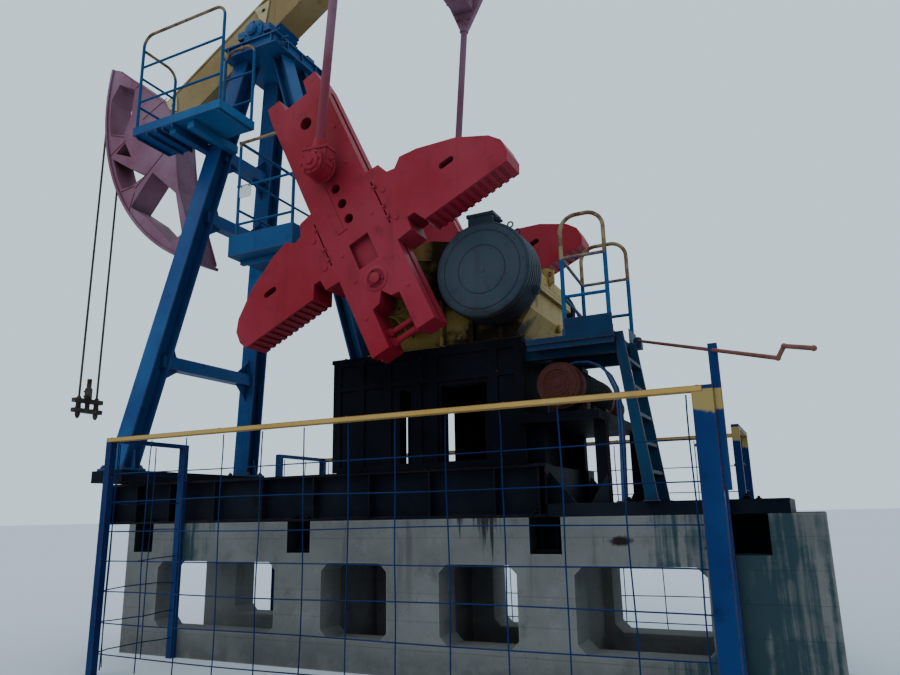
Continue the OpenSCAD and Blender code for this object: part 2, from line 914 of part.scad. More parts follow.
module crank(side)
{
    h = crank_half;
    y = side * (crank_in + crank_t / 2);
    face = side * crank_out;
    color(red)
        at_crank()
            difference()
            {
                plate_xz([[-h, -fork_reach], [-0.44 * h, -fork_reach], [-0.44 * h, -258], [-70, -240], [0, -138],
                          [70, -240], [0.44 * h, -258], [0.44 * h, -fork_reach], [h, -fork_reach],
                          [h, crank_reach - 180], [h - 20, crank_reach], [0.48 * h, crank_reach],
                          [0.42 * h, crank_reach - 170], [-0.42 * h, crank_reach - 170],
                          [-0.48 * h, crank_reach], [-h + 20, crank_reach], [-h, crank_reach - 180]], y, crank_t);
                round_y(min(0, 2 * y), max(0, 2 * y), shaft_end_d);
                for (i = [1 : 3])
                    translate([0, 0, wrist_r - i * pin_step - 20])
                        round_y(min(0, 2 * y), max(0, 2 * y), pin_hole_d);
                translate([0, 0, 2020]) round_y(min(0, 2 * y), max(0, 2 * y), lift_hole_d);
                box([-115, min(face, face - side * 60), 180], [115, max(face, face - side * 60) + 1, 472]);
                for (s = [-1, 1])
                    box([s * h - 30, y - 30, -fork_reach - 1], [s * h + 30, y + 30, crank_reach - 260]);
            }
}

module near_crank() { crank(-1); }

module far_crank() { crank(1); }

// Counterweight bolted to one edge of a crank; behind its front lip the lower edge has ridges like a rack
module weight(side, edge)
{
    h = crank_half;
    out = h + weight_span;
    y = side * (crank_out - weight_t / 2);
    back = side * (crank_out - weight_t - 1);
    front = side * (crank_out - 25);
    teeth = floor((weight_span - 420) / ridge_step);
    color(red)
        at_crank()
            mirror([edge < 0 ? 1 : 0, 0, 0])
                difference()
                {
                    plate_xz([[h, 1050], [h + 150, 1030], [h + 195, 905], [h + 280, 880], [h + 375, 955],
                              [h + 560, 910], [h + 930, 745], [out - 100, 545], [out - 25, 430], [out - 25, 300],
                              [out - 70, 215], [h + 325, 215], [h + 260, 345], [h + 180, 345],
                              [h + 165, 215], [h, 205]], y, weight_t);
                    for (v = [-50, 50])
                        translate([h + 745 + v, 0, 580]) round_y(y - weight_t, y + weight_t, 62, 32);
                    box([h + 695, y - weight_t, 549], [h + 795, y + weight_t, 611]);
                    box([h - 1, y - weight_t, 400], [h + 14, y + weight_t, 920]);
                    for (i = [0 : teeth - 1])
                        box([h + 345 + i * ridge_step, min(back, front), 214],
                            [h + 345 + (i + 0.45) * ridge_step, max(back, front), 215 + ridge_depth]);
                }
}

module near_upper_weight() { weight(-1, 1); }

module near_lower_weight() { weight(-1, -1); }

module far_upper_weight() { weight(1, 1); }

module far_lower_weight() { weight(1, -1); }

// The rocking group, drawn level round the pivot and then leaned
module at_beam()
{
    translate([-pivot_x, 0, pivot_z]) rotate([0, -beam_lean, 0]) children();
}

module walking_beam()
{
    z0 = beam_lift;
    z1 = beam_lift + beam_h;
    color(ochre)
        at_beam()
        {
            box([head_x, -beam_w / 2, z0], [beam_end, beam_w / 2, z0 + beam_t]);
            for (s = [-1, 1])
                box([head_x, s * (beam_w / 2 - beam_lip) - beam_t / 2, z0],
                    [beam_end, s * (beam_w / 2 - beam_lip) + beam_t / 2, z1]);
            box([beam_end - beam_t, -beam_w / 2 + beam_lip, z0], [beam_end, beam_w / 2 - beam_lip, z1]);
            box([head_x, -beam_w / 2, z1 - beam_t], [beam_end, beam_w / 2, z1]);
        }
}

function polar(r, a) = [-r * cos(a), r * sin(a)];

// A point of the head: share of its radius, angle up from level
function head_at(f, a) = polar(f * head_r, a);

module horse_head()
{
    band = 1 - head_band / head_r;
    cut = head_w + 2;
    color(faded_red)
        at_beam()
            difference()
            {
                intersection()
                {
                    plate_xz([[head_x, beam_lift], [head_x, beam_lift + beam_h], head_at(0.79, 35.5),
                              head_at(0.945, head_a - 0.7), head_at(1, head_a), head_at(1.2, head_a),
                              head_at(1.6, 0), head_at(1.2, -head_low), head_at(1, -head_low),
                              head_at(0.745, -18.4), head_at(0.649, -7.2), [-1860, 40]], 0, head_w);
                    round_y(-head_w, head_w, 2 * head_r, 360);
                }
                plate_xz([head_at(band, 32.5), head_at(0.926, 37), head_at(0.813, 33.5), head_at(0.83, 24.3),
                          head_at(0.885, 18.6), head_at(band, 21.4), head_at(band, 27)], 0, cut);
                plate_xz([head_at(0.947, 13.9), head_at(0.883, 15.5), head_at(0.864, 9)], 0, cut);
                plate_xz([head_at(band, 12.8), head_at(0.889, 5.5), head_at(0.821, -1.4), head_at(0.926, 0),
                          head_at(band, 1.9), head_at(band, 7)], 0, cut);
                plate_xz([head_at(0.788, -3), head_at(0.765, -18.2), head_at(0.901, -29.2), head_at(0.958, -26.7),
                          head_at(0.935, -14.4), head_at(band, -5.7)], 0, cut);
            }
}

module saddle_shaft()
{
    color(navy)
        at_beam()
        {
            round_y(-540, 540, saddle_d);
            intersection()
            {
                round_y(-260, 260, 2 * beam_lift + 40);
                box([-400, -260, -200], [400, 260, beam_lift]);
            }
            box([-260, -190, beam_lift - 70], [260, 190, beam_lift]);
        }
}

module tail_bearing()
{
    color(ochre)
        at_beam()
            translate([tail_x, 0, -tail_drop])
            {
                for (s = [-1, 1])
                {
                    round_y(s * 160 - 30, s * 160 + 30, 190, 48);
                    box([-95, s * 160 - 30, 0], [95, s * 160 + 30, tail_drop + beam_lift]);
                }
                round_y(-200, 200, tail_pin_d);
            }
}

module bridle_top()
{
    color("dimgray")
        at_beam()
            for (s = [-1, 1])
            {
                translate([0, s * cable_y, 0])
                    rotate([90, 0, 0])
                        rotate([0, 0, 180 - head_a])
                            rotate_extrude(angle = head_a - beam_lean, $fn = 180)
                                translate([head_r + cable_d / 2, 0]) circle(d = cable_d, $fn = 24);
            }
}

module equalizer()
{
    color(faded_red)
        at_tail()
        {
            difference()
            {
                union()
                {
                    round_y(-125, 125, 210, 48);
                    box([-85, -125, -140], [85, 125, 0]);
                    box([-140, -pitman_y - 60, -380], [140, pitman_y + 60, -115]);
                    for (s = [-1, 1])
                        plate_xz([[-300, -115], [300, -115], [60, -640], [-60, -640]], s * pitman_y, 80);
                }
                round_y(-300, 300, tail_pin_d + 2);
            }
        }
}

module at_tail()
{
    translate([tail_px, 0, tail_pz]) rotate([0, pitman_lean, 0]) children();
}

module pitman(side)
{
    color(faded_red)
        at_tail()
            translate([0, side * pitman_y, -pitman_l + wrist_d / 2 + 20])
                cylinder(d = pitman_d, h = pitman_l - wrist_d / 2 - 20 - 640, $fn = 48);
}

module near_pitman() { pitman(-1); }

module far_pitman() { pitman(1); }

// Split housing at the lower end of a pitman with the wrist pin stub toward the crank
module wrist_bearing(side)
{
    near = side * (pitman_y - 85);
    face = side * (crank_out + wrist_gap);
    color(red)
        at_tail()
            translate([0, 0, -pitman_l])
            {
                round_y(min(near, side * (pitman_y + 85)), max(near, side * (pitman_y + 85)), wrist_d);
                round_y(min(face, near), max(face, near), wrist_pin_d, 48);
                box([-wrist_d / 2, side * pitman_y - 70, 0], [wrist_d / 2, side * pitman_y + 70, wrist_d / 2 + 20]);
            }
}

module near_wrist_bearing() { wrist_bearing(-1); }

module far_wrist_bearing() { wrist_bearing(1); }

// The hanger over the well
module bridle_cables()
{
    color("dimgray")
        for (s = [-1, 1])
            translate([well_x - cable_d / 2, s * cable_y, carrier_z + carrier_h])
                cylinder(d = cable_d, h = pivot_z - carrier_z - carrier_h, $fn = 24);
}

module carrier_bar()
{
    low = carrier_h + clamp_h;
    color("dimgray")
        translate([well_x - cable_d / 2, 0, carrier_z])
            difference()
            {
                union()
                {
                    for (z = [0, carrier_h - carrier_bar_h])
                        box([-carrier_w / 2, -carrier_l / 2, z], [carrier_w / 2, carrier_l / 2, z + carrier_bar_h]);
                    for (s = [-1, 1])
                        translate([0, s * cable_y, -socket_drop])
                        {
                            cylinder(d = socket_d, h = socket_drop + carrier_h - 1, $fn = 32);
                            translate([0, 0, -socket_drop])
                                cylinder(d1 = cable_d, d2 = socket_d, h = socket_drop, $fn = 32);
                        }
                    cylinder(d = sleeve_d, h = low, $fn = 32);
                    translate([0, 0, carrier_h]) cylinder(d = clamp_d, h = clamp_h, $fn = 32);
                    translate([0, 0, low]) cylinder(d1 = clamp_d, d2 = sleeve_d, h = clamp_taper, $fn = 32);
                    translate([0, 0, low + clamp_taper]) cylinder(d = sleeve_d, h = clamp_top, $fn = 32);
                }
                translate([0, 0, -1])
                    cylinder(d = rod_bore_d, h = low + clamp_taper + clamp_top + 2, $fn = 48);
            }
}

// Long rod with a cranked handle that works the gearbox brake
module brake_line(start, d)
{
    v = brake_out - brake_in;
    translate(brake_in)
        rotate([0, acos(v[2] / norm(v)), atan2(v[1], v[0])])
            translate([0, 0, start])
                cylinder(d = d, h = norm(v) - start, $fn = 32);
}

// Ring round the brake rod, a distance along it from its inner end
module brake_ring(along, length)
{
    v = brake_out - brake_in;
    bar(brake_in + v * along / norm(v), brake_in + v * (along + length) / norm(v), brake_d + 44, 32);
}

module brake_rod()
{
    knee = brake_out + brake_arm;
    color("sienna")
    {
        brake_line(0, brake_d);
        for (p = [brake_out, knee, knee + brake_grip])
            translate(p) sphere(d = brake_d + 6, $fn = 32);
        bar(brake_out, knee, brake_d, 32);
        bar(knee, knee + brake_grip, brake_d, 32);
    }
}

near_foundation_wall();
far_foundation_wall();
foundation_cross_walls();
near_skid_beam();
far_skid_beam();
skid_crossmembers();
rear_skid_frame();
tower_sill();
gearbox_stand();
gearbox_case();
gearbox_cover();
drive_motor();
input_sheave();
drive_belt();
belt_motor();
belt_motor_frame();
near_front_leg();
far_front_leg();
rear_legs();
tower_struts();
tower_head();
upper_platform();
upper_handrail();
lower_platform();
lower_handrail();
service_platform();
service_handrail();
service_ladder();
near_fence_mesh();
far_fence_mesh();
end_fence_mesh();
fence_posts();
fence_rails();
crankshaft();
near_crank();
far_crank();
near_upper_weight();
near_lower_weight();
far_upper_weight();
far_lower_weight();
walking_beam();
horse_head();
saddle_shaft();
tail_bearing();
bridle_top();
equalizer();
near_pitman();
far_pitman();
near_wrist_bearing();
far_wrist_bearing();
bridle_cables();
carrier_bar();
brake_rod();
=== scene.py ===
import math
import random

import bpy
from mathutils import Matrix, Vector


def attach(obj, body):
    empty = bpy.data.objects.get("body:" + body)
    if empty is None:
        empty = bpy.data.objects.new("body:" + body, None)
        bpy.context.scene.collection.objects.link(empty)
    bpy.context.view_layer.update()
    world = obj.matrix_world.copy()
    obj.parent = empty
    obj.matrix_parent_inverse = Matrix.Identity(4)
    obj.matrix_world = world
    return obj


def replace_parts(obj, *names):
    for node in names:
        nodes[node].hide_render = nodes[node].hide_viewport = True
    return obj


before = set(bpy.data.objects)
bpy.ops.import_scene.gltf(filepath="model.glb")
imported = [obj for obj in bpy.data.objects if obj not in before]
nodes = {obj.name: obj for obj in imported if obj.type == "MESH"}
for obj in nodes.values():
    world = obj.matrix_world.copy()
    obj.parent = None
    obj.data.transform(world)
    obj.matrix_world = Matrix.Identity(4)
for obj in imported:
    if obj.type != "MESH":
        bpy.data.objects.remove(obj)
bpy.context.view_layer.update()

# Sizes shared with the solids, in metres and degrees
SHAFT = Vector((0.060, 0.0, 3.530))
CRANK_LEAN = 25.2
CRANK_HALF = 0.355
CRANK_IN = 1.050
CRANK_OUT = 1.320
PIVOT = Vector((-2.350, 0.0, 7.550))
BEAM_LEAN = 32.0
BEAM_LOW = 0.110
BEAM_HIGH = 0.660
BEAM_PLATE = 0.030
BEAM_SIDE = 0.190
TAIL_CLAMP_X = 2.487
HEAD_R = 3.100
HEAD_HALF = 0.180
HEAD_TURNS = (-38.4, 42.4)
TAIL_PIN = Vector((-0.18213, 0.0, 8.77493))
PITMAN_LEAN = 4.5156
PITMAN_L = 4.06317
PITMAN_Y = 1.500
WELL_X = -5.465
CABLE_Y = 0.140
CARRIER_Z = 2.850
SKID_Z = 1.350
SKID_TOP = 1.800
SKID_Y = 0.670
REAR_FRAME_TOP = 1.460
STAND_TOP = 2.930
STAND_Y = 0.780
MOTOR = Vector((0.990, -1.000, 3.560))
MOTOR_R = 0.4625
MOTOR_BOX_TOP = MOTOR.z + MOTOR_R + 0.085
BELT_MOTOR_X = 1.640
BELT_MOTOR_Z = 2.440
LEG_FOOT = Vector((-3.460, 1.000, 1.930))
LEG_TOP = Vector((-2.600, 0.290, 7.215))
TOWER_HEAD_X = (-2.740, -1.950)
TOWER_HEAD_Z = (7.215, 7.375)
UPPER_FLOOR = 6.018
LOWER_FLOOR = 4.318
SERVICE_FLOOR = 2.870
FENCE_X = (-2.730, 2.850)
FENCE_Y = 1.760
FENCE_H = 2.150

# The lower platform's handrail stands taller here than in the solids
LOWER_RAIL_X = (-2.160, -1.360)
LOWER_RAIL_Y = 0.790
LOWER_RAIL_TOP = 5.740

UP = Vector((0, 0, 1))
NEAR = Vector((0, -1, 0))
FAR = Vector((0, 1, 0))
REAR = Vector((1, 0, 0))
FRONT = Vector((-1, 0, 0))


# Camera and light

CAMERA_AT = Vector((3.47, -6.78, 1.39))
CAMERA_LEVEL = Vector((-0.4375, 0.8992, 0.0)).normalized()
CAMERA_PITCH = math.radians(13.7)
CAMERA_ROLL = math.radians(1.155)
CAMERA_LENS = 29.0


def place_camera():
    """Camera low in front of the near corner, looking up along the machine."""
    forward = CAMERA_LEVEL * math.cos(CAMERA_PITCH) + UP * math.sin(CAMERA_PITCH)
    right = forward.cross(UP).normalized()
    up = right.cross(forward)
    tilted_right = right * math.cos(CAMERA_ROLL) - up * math.sin(CAMERA_ROLL)
    tilted_up = up * math.cos(CAMERA_ROLL) + right * math.sin(CAMERA_ROLL)
    turn = Matrix((tilted_right, tilted_up, -forward)).transposed().to_4x4()
    camera = bpy.data.objects.new("camera", bpy.data.cameras.new("camera"))
    camera.matrix_world = Matrix.Translation(CAMERA_AT) @ turn
    camera.data.sensor_width = 36.0
    camera.data.lens = CAMERA_LENS
    camera.data.clip_end = 1000.0
    bpy.context.scene.collection.objects.link(camera)
    bpy.context.scene.camera = camera


def light_studio():
    """Soft light from all sides with a broad, gentle key from above the near left."""
    world = bpy.data.worlds.new("studio")
    world.use_nodes = True
    sky = world.node_tree.nodes["Background"]
    sky.inputs["Color"].default_value = (0.80, 0.98, 1.11, 1.0)
    sky.inputs["Strength"].default_value = 1.0
    bpy.context.scene.world = world
    key = bpy.data.objects.new("key", bpy.data.lights.new("key", "SUN"))
    key.data.energy = 0.6
    key.data.angle = math.radians(50)
    key.data.color = (1.0, 0.97, 0.93)
    key.rotation_euler = Vector((0.5, 0.75, -1.0)).to_track_quat("-Z", "Y").to_euler()
    bpy.context.scene.collection.objects.link(key)


# Shader expressions


class Value:
    """A number that varies over a surface, usable in ordinary arithmetic."""

    def __init__(self, finish, socket):
        self.finish, self.socket = finish, socket

    def math(self, operation, first, second=0.0):
        return self.finish.node("ShaderNodeMath", {"operation": operation}, {0: first, 1: second})

    def __add__(self, other):
        return self.math("ADD", self, other)

    def __radd__(self, other):
        return self.math("ADD", other, self)

    def __sub__(self, other):
        return self.math("SUBTRACT", self, other)

    def __rsub__(self, other):
        return self.math("SUBTRACT", other, self)

    def __mul__(self, other):
        return self.math("MULTIPLY", self, other)

    def __rmul__(self, other):
        return self.math("MULTIPLY", other, self)

    def __pow__(self, other):
        return self.math("POWER", self, other)

    def larger(self, other):
        return self.math("MAXIMUM", self, other)

    def fraction(self):
        return self.math("FRACT", self)

    def size(self):
        return self.math("ABSOLUTE", self)

    def mask(self, low, high):
        """0 below low and 1 above high, or the reverse where low is the larger."""
        return self.finish.node(
            "ShaderNodeMapRange", {"interpolation_type": "SMOOTHSTEP"},
            {"Value": self, "From Min": low, "From Max": high})


class Finish:
    """One procedural material, built from the object's own coordinates in metres."""

    def __init__(self, name):
        self.material = bpy.data.materials.new(name)
        self.material.use_nodes = True
        self.tree = self.material.node_tree
        self.shader = self.tree.nodes["Principled BSDF"]
        self.place = self.node("ShaderNodeTexCoord", output="Object")

    def node(self, kind, settings=None, inputs=None, output=0):
        made = self.tree.nodes.new(kind)
        for name, value in (settings or {}).items():
            setattr(made, name, value)
        for key, value in (inputs or {}).items():
            self.feed(made.inputs[key], value)
        return Value(self, made.outputs[output])

    def feed(self, socket, value):
        if isinstance(value, Value):
            self.tree.links.new(value.socket, socket)
        else:
            socket.default_value = value

    def stretched(self, scale, shift=(0, 0, 0)):
        return self.node("ShaderNodeMapping", None,
                         {"Vector": self.place, "Scale": scale, "Location": shift})

    def noise(self, scale, detail=4.0, rough=0.55, stretch=(1, 1, 1), shift=(0, 0, 0)):
        return self.node("ShaderNodeTexNoise", None,
                         {"Vector": self.stretched(stretch, shift), "Scale": scale,
                          "Detail": detail, "Roughness": rough})

    def cells(self, scale):
        return self.node("ShaderNodeTexVoronoi", None, {"Vector": self.place, "Scale": scale})

    def axis(self, name):
        return self.node("ShaderNodeSeparateXYZ", None, {0: self.place}, output=name)

    def facing_up(self):
        normal = self.node("ShaderNodeNewGeometry", output="Normal")
        return self.node("ShaderNodeSeparateXYZ", None, {0: normal}, output="Z")

    def rim(self, radius):
        """Near 1 on outer edges: how far the softened normal leaves the real one."""
        soft = self.node("ShaderNodeBevel", {"samples": 4}, {"Radius": radius})
        real = self.node("ShaderNodeNewGeometry", output="True Normal")
        same = self.node("ShaderNodeVectorMath", {"operation": "DOT_PRODUCT"}, {0: soft, 1: real}, "Value")
        return 1.0 - same

    def hollow(self, distance):
        """Near 1 in corners and crevices."""
        return 1.0 - self.node("ShaderNodeAmbientOcclusion", {"samples": 4}, {"Distance": distance}, "AO")

    def mix(self, amount, first, second):
        made = self.tree.nodes.new("ShaderNodeMix")
        made.data_type = "RGBA"
        self.feed(made.inputs["Factor"], amount)
        for socket, value in ((made.inputs[6], first), (made.inputs[7], second)):
            self.feed(socket, value if isinstance(value, Value) else (*value, 1.0))
        return Value(self, made.outputs[2])

    def done(self, colour, rough, bump=None, depth=0.002, strength=0.6, metal=0.0, gloss=0.08):
        self.shader.inputs["Specular IOR Level"].default_value = gloss
        self.feed(self.shader.inputs["Base Color"], colour)
        self.feed(self.shader.inputs["Roughness"], rough)
        self.feed(self.shader.inputs["Metallic"], metal)
        if bump is not None:
            normal = self.node("ShaderNodeBump", None,
                               {"Height": bump, "Distance": depth, "Strength": strength})
            self.feed(self.shader.inputs["Normal"], normal)
        return self.material


RUST_DARK = (0.030, 0.011, 0.007)
RUST_BRIGHT = (0.130, 0.040, 0.014)
# Dark colour of dirty runs and of corners, where it is partly dirt and partly painted shade
GRIME_AND_SHADE = (0.010, 0.008, 0.008)
DUST = (0.12, 0.115, 0.105)


def weathered_paint(name, colour, faded, dark, shine=0.42, rust=0.5, grime_and_shade=0.5, cast=0.2,
                    worn_edge=0.5, oil=None, bare=None, gloss=0.08, patch=None):
    """Old site paint: faded tops, rain streaks, corners soiled and darkened with painted shade, chips and
    rust at the edges.

    A patch is a function that says where another colour lies, and that colour.
    """
    f = Finish(name)
    broad = f.noise(0.9, 3.0, 0.5)
    blotch = f.noise(5.5, 6.0, 0.62, shift=(3, 1, 7))
    grain = f.noise(46.0, 5.0, 0.7)
    runs = f.noise(7.0, 5.0, 0.6, stretch=(1, 1, 0.10), shift=(2, 5, 1))
    rim = f.rim(0.014)
    # Ambient occlusion: corners and crevices, darkened below with dirt and painted shade
    nook = f.hollow(0.30)
    tone = f.mix(broad.mask(0.36, 0.66), colour, faded)
    tone = f.mix(blotch.mask(0.50, 0.78) * 0.55, tone, faded)
    tone = f.mix(blotch.mask(0.47, 0.25) * 0.50, tone, dark)
    tone = f.mix(f.facing_up().mask(0.55, 1.0) * grain.mask(0.30, 0.62) * 0.45, tone, DUST)
    # Painted shade and dirt in corners and crevices, plus dirty rain runs; an oil colour, where given, takes
    # the place of the dark colour
    dirt_and_shade = (nook.mask(0.25, 0.85) * 0.9 + runs.mask(0.56, 0.76) * 0.45) * blotch.mask(0.22, 0.60)
    tone = f.mix(dirt_and_shade * grime_and_shade, tone, GRIME_AND_SHADE if oil is None else oil)
    chips = f.noise(17.0, 8.0, 0.68, shift=(1, 8, 4))
    if patch:
        where, other = patch
        tone = f.mix(where(f, blotch), tone, other)
    lost = (rim.mask(0.015, 0.16) * worn_edge + chips * 0.9 + f.noise(1.7, 2.0) * 0.25).mask(
        1.02 - 0.20 * rust, 1.10 - 0.20 * rust)
    corroded = f.mix(grain.mask(0.35, 0.65), RUST_DARK, RUST_BRIGHT if bare is None else bare)
    tone = f.mix(lost, tone, corroded)
    weep = (runs * 0.8 + chips * 0.4).mask(0.80 - 0.10 * rust, 0.95 - 0.08 * rust) * 0.55 * rust
    tone = f.mix(weep, tone, RUST_BRIGHT)
    rough = shine + blotch * 0.18 + lost * 0.30 + dirt_and_shade * 0.20 - 0.05
    height = f.noise(24.0, 4.0, 0.6) * cast + grain * 0.16 + (1.0 - lost) * 0.35
    return f.done(tone, rough, height, 0.003, 0.55, gloss=gloss)


def brushed_post_top(f, cloud):
    """Yellow of the top rail carried down onto the right-hand posts."""
    ragged_height = f.axis("Z") + (cloud - 0.5) * 0.16
    painted = ragged_height.mask(FENCE_H - 0.130, FENCE_H - 0.105)
    under_rail = f.axis("Z").mask(FENCE_H + 0.016, FENCE_H + 0.010)
    right_end = f.axis("X").mask(FENCE_X[1] - 0.25, FENCE_X[1] - 0.20)
    return painted * under_rail * right_end


def blue_end_rails(f, cloud):
    """The short rails at the well end are blue, not yellow."""
    well_end = f.axis("X").mask(FENCE_X[0] + 0.09, FENCE_X[0] + 0.05)
    return well_end * f.axis("Y").size().mask(FENCE_Y - 0.015, FENCE_Y - 0.025)


def oil_and_shade_by_round_motor(f, cloud):
    """Dark patch on the near side of the gearbox: oil below the round motor, and oil with painted shade
    between it and the crank.
    """
    spill_x, spill_z = 0.95, 2.99
    spread = ((f.axis("X") - spill_x) * 1.6) ** 2.0 + ((f.axis("Z") - spill_z) * 4.6) ** 2.0
    under = (spread + (cloud - 0.5) * 3.0).mask(1.15, 0.55)
    # Between the motor and the crank the dark is oil and painted shade
    height = f.axis("Z") + (cloud - 0.5) * 0.5
    beside = height.mask(3.30, 3.42) * (f.axis("X") + (cloud - 0.5) * 0.3).mask(0.10, 0.28)
    near_side = f.axis("Y").mask(-0.30, -0.42)
    return under.larger(beside) * near_side * 0.94


def redder_low_end(f, cloud):
    """Fresh crank red brushed up the lower ends of the pitmans."""
    return (f.axis("Z") + (cloud - 0.5) * 0.8).mask(6.4, 5.3) * 0.85


def darker_round_motor_bottom(f, cloud):
    """Darker along the lower rim of the round motor, with a little onto the bottom of its face."""
    height = f.axis("Z") + (cloud - 0.5) * 0.30
    rim = f.axis("Y").mask(MOTOR.y + 0.001, MOTOR.y + 0.010)
    return (height.mask(3.42, 3.14) * rim).larger(height.mask(3.24, 3.13) * 0.7) * 0.85


def concrete():
    """Cast concrete with board lines, pores, dark runs, oil drips, teal stains, one rusty pit, and grease
    with painted shade in the notches.
    """
    drips_x = 0.90
    left_stain_x, right_stain_x = -2.66, 2.95
    pit_x, pit_z = 2.03, 1.155
    f = Finish("cast_concrete")
    broad = f.noise(0.8, 4.0, 0.6)
    cloud = f.noise(3.2, 7.0, 0.65, shift=(4, 2, 9))
    sand = f.noise(75.0, 6.0, 0.75)
    runs = f.noise(4.5, 5.0, 0.6, stretch=(1, 1, 0.09))
    height = f.axis("Z")
    board = ((height * 4.2 + f.noise(0.6) * 0.05).fraction() - 0.5).size().mask(0.485, 0.5)
    pores = f.cells(34.0).mask(0.17, 0.06) * f.noise(2.5).mask(0.42, 0.62)
    rim = f.rim(0.03)
    chipped = (rim.mask(0.02, 0.20) + f.noise(9.0, 6.0, 0.7)).mask(1.18, 1.36)
    tone = f.mix(broad.mask(0.3, 0.7), (0.103, 0.103, 0.100), (0.162, 0.161, 0.155))
    tone = f.mix(cloud.mask(0.52, 0.80) * 0.6, tone, (0.225, 0.222, 0.212))
    tone = f.mix(cloud.mask(0.46, 0.24) * 0.65, tone, (0.052, 0.050, 0.048))
    tone = f.mix(sand.mask(0.42, 0.70) * 0.25, tone, (0.180, 0.175, 0.165))
    tone = f.mix(runs.mask(0.54, 0.74) * height.mask(0.2, 1.3) * 0.55, tone, (0.030, 0.027, 0.025))
    tone = f.mix(height.mask(0.42, 0.02) * cloud.mask(0.3, 0.6) * 0.6, tone, (0.044, 0.042, 0.039))
    tone = f.mix(board * 0.35, tone, (0.045, 0.045, 0.042))
    tone = f.mix(pores, tone, (0.030, 0.029, 0.027))
    tone = f.mix(chipped * 0.7, tone, (0.190, 0.180, 0.165))
    along_wall, depth = f.axis("X"), f.axis("Y")
    near = depth.mask(-0.70, -0.76)
    drips = f.noise(20.0, 4.0, 0.55, stretch=(1, 1, 0.045), shift=(7, 2, 3))
    fall = drips - (along_wall - drips_x).size() * 0.50 + (height - 1.20) * 0.50
    tone = f.mix(fall.mask(0.47, 0.58) * near * 0.9, tone, (0.012, 0.010, 0.010))
    left = cloud * 0.6 + drips * 0.6 - (along_wall - left_stain_x).size() * 0.55
    right = cloud * 0.6 + drips * 0.8 - (along_wall - right_stain_x).size() * 0.40
    teal = (left * height.mask(0.2, 0.7)).larger(right).mask(0.42, 0.66)
    tone = f.mix(teal * near * 0.88, tone, (0.007, 0.034, 0.045))
    pit = ((along_wall - pit_x + (cloud - 0.5) * 0.22) * 12.0) ** 2.0
    pit = pit + ((height - pit_z + (sand - 0.5) * 0.07 + (cloud - 0.5) * 0.05) * 27.0) ** 2.0
    tone = f.mix(pit.mask(1.5, 0.5) * near, tone, (0.018, 0.008, 0.009))
    # Inside the outer wall faces, above the notch floors: near black for grease and painted shade
    notch_grease_and_shade = height.mask(1.046, 1.052) * depth.size().mask(0.7795, 0.7780)
    tone = f.mix(notch_grease_and_shade * 0.95, tone, (0.006, 0.006, 0.008))
    bump = sand * 0.25 + cloud * 0.6 - board * 0.5 - pores * 0.9 - chipped * 0.6
    return f.done(tone, 0.82 + sand * 0.15, bump, 0.006, 0.7, gloss=0.2)


def wire_rope():
    """Greasy hoisting rope whose strands wind round it."""
    f = Finish("wire_rope")
    lay = f.node("ShaderNodeTexWave", {"bands_direction": "DIAGONAL"},
                 {"Vector": f.stretched((6, 6, 1.6)), "Scale": 5.0, "Distortion": 0.4})
    grease = f.noise(8.0, 5.0, 0.6)
    tone = f.mix(grease.mask(0.35, 0.65), (0.020, 0.017, 0.015), (0.075, 0.062, 0.050))
    tone = f.mix(lay.mask(0.65, 1.0) * 0.35, tone, (0.17, 0.15, 0.13))
    return f.done(tone, 0.42 + grease * 0.3, lay, 0.004, 0.8, metal=0.4)


def bare_metal(name, light, dark, rust, rough):
    """Unpainted steel with oil film and spots of rust."""
    f = Finish(name)
    cloud = f.noise(6.0, 6.0, 0.6)
    fine = f.noise(60.0, 5.0, 0.7)
    tone = f.mix(cloud.mask(0.35, 0.68), dark, light)
    spots = (fine * 0.5 + f.noise(11.0, 6.0, 0.7, shift=(5, 5, 5)) * 0.7).mask(0.72 - 0.12 * rust, 0.82)
    tone = f.mix(spots, tone, RUST_DARK)
    return f.done(tone, rough + cloud * 0.2 + spots * 0.3, fine * 0.4 + spots * 0.5, 0.001, 0.5,
                  metal=0.85 - spots * 0.6)


def belt_rubber():
    """Ribbed driving belt, dusty on its outside."""
    f = Finish("ribbed_rubber")
    rib = (f.axis("Y") * 58.0).fraction().mask(0.10, 0.25)
    dust = f.noise(14.0, 5.0, 0.65)
    tone = f.mix(dust.mask(0.4, 0.75) * 0.5, (0.012, 0.012, 0.013), (0.07, 0.065, 0.06))
    return f.done(tone, 0.62 + dust * 0.25, rib, 0.004, 0.7)


def rail_paint(name, height, inner=None, front=None, top=(0.230, 0.170, 0.095), low=(0.006, 0.055, 0.150)):
    """Blue tube rails whose hand-worn top is cream paint gone rusty."""
    f = Finish(name)
    blotch = f.noise(9.0, 6.0, 0.65)
    grain = f.noise(60.0, 5.0, 0.7)
    upper = (f.axis("Z") + f.noise(6.0) * 0.03).mask(height - 0.03, height)
    if inner:
        upper = upper.larger(f.axis("Z").mask(inner - 0.03, inner) * f.axis("Y").mask(-1.15, -1.13))
    if front:
        upper = upper * f.axis("Y").mask(front + 0.01, front)
    tone = f.mix(blotch.mask(0.45, 0.75) * 0.5, low, (0.014, 0.095, 0.205))
    cream = f.mix(blotch.mask(0.40, 0.62), top, (0.105, 0.048, 0.026))
    tone = f.mix(upper, tone, cream)
    lost = (f.noise(24.0, 7.0, 0.7, shift=(3, 3, 3)) * 0.9 + grain * 0.2).mask(0.66, 0.74)
    tone = f.mix(lost, tone, RUST_DARK)
    return f.done(tone, 0.45 + blotch * 0.2 + lost * 0.25, grain * 0.3 + (1.0 - lost) * 0.4, 0.001, 0.5)


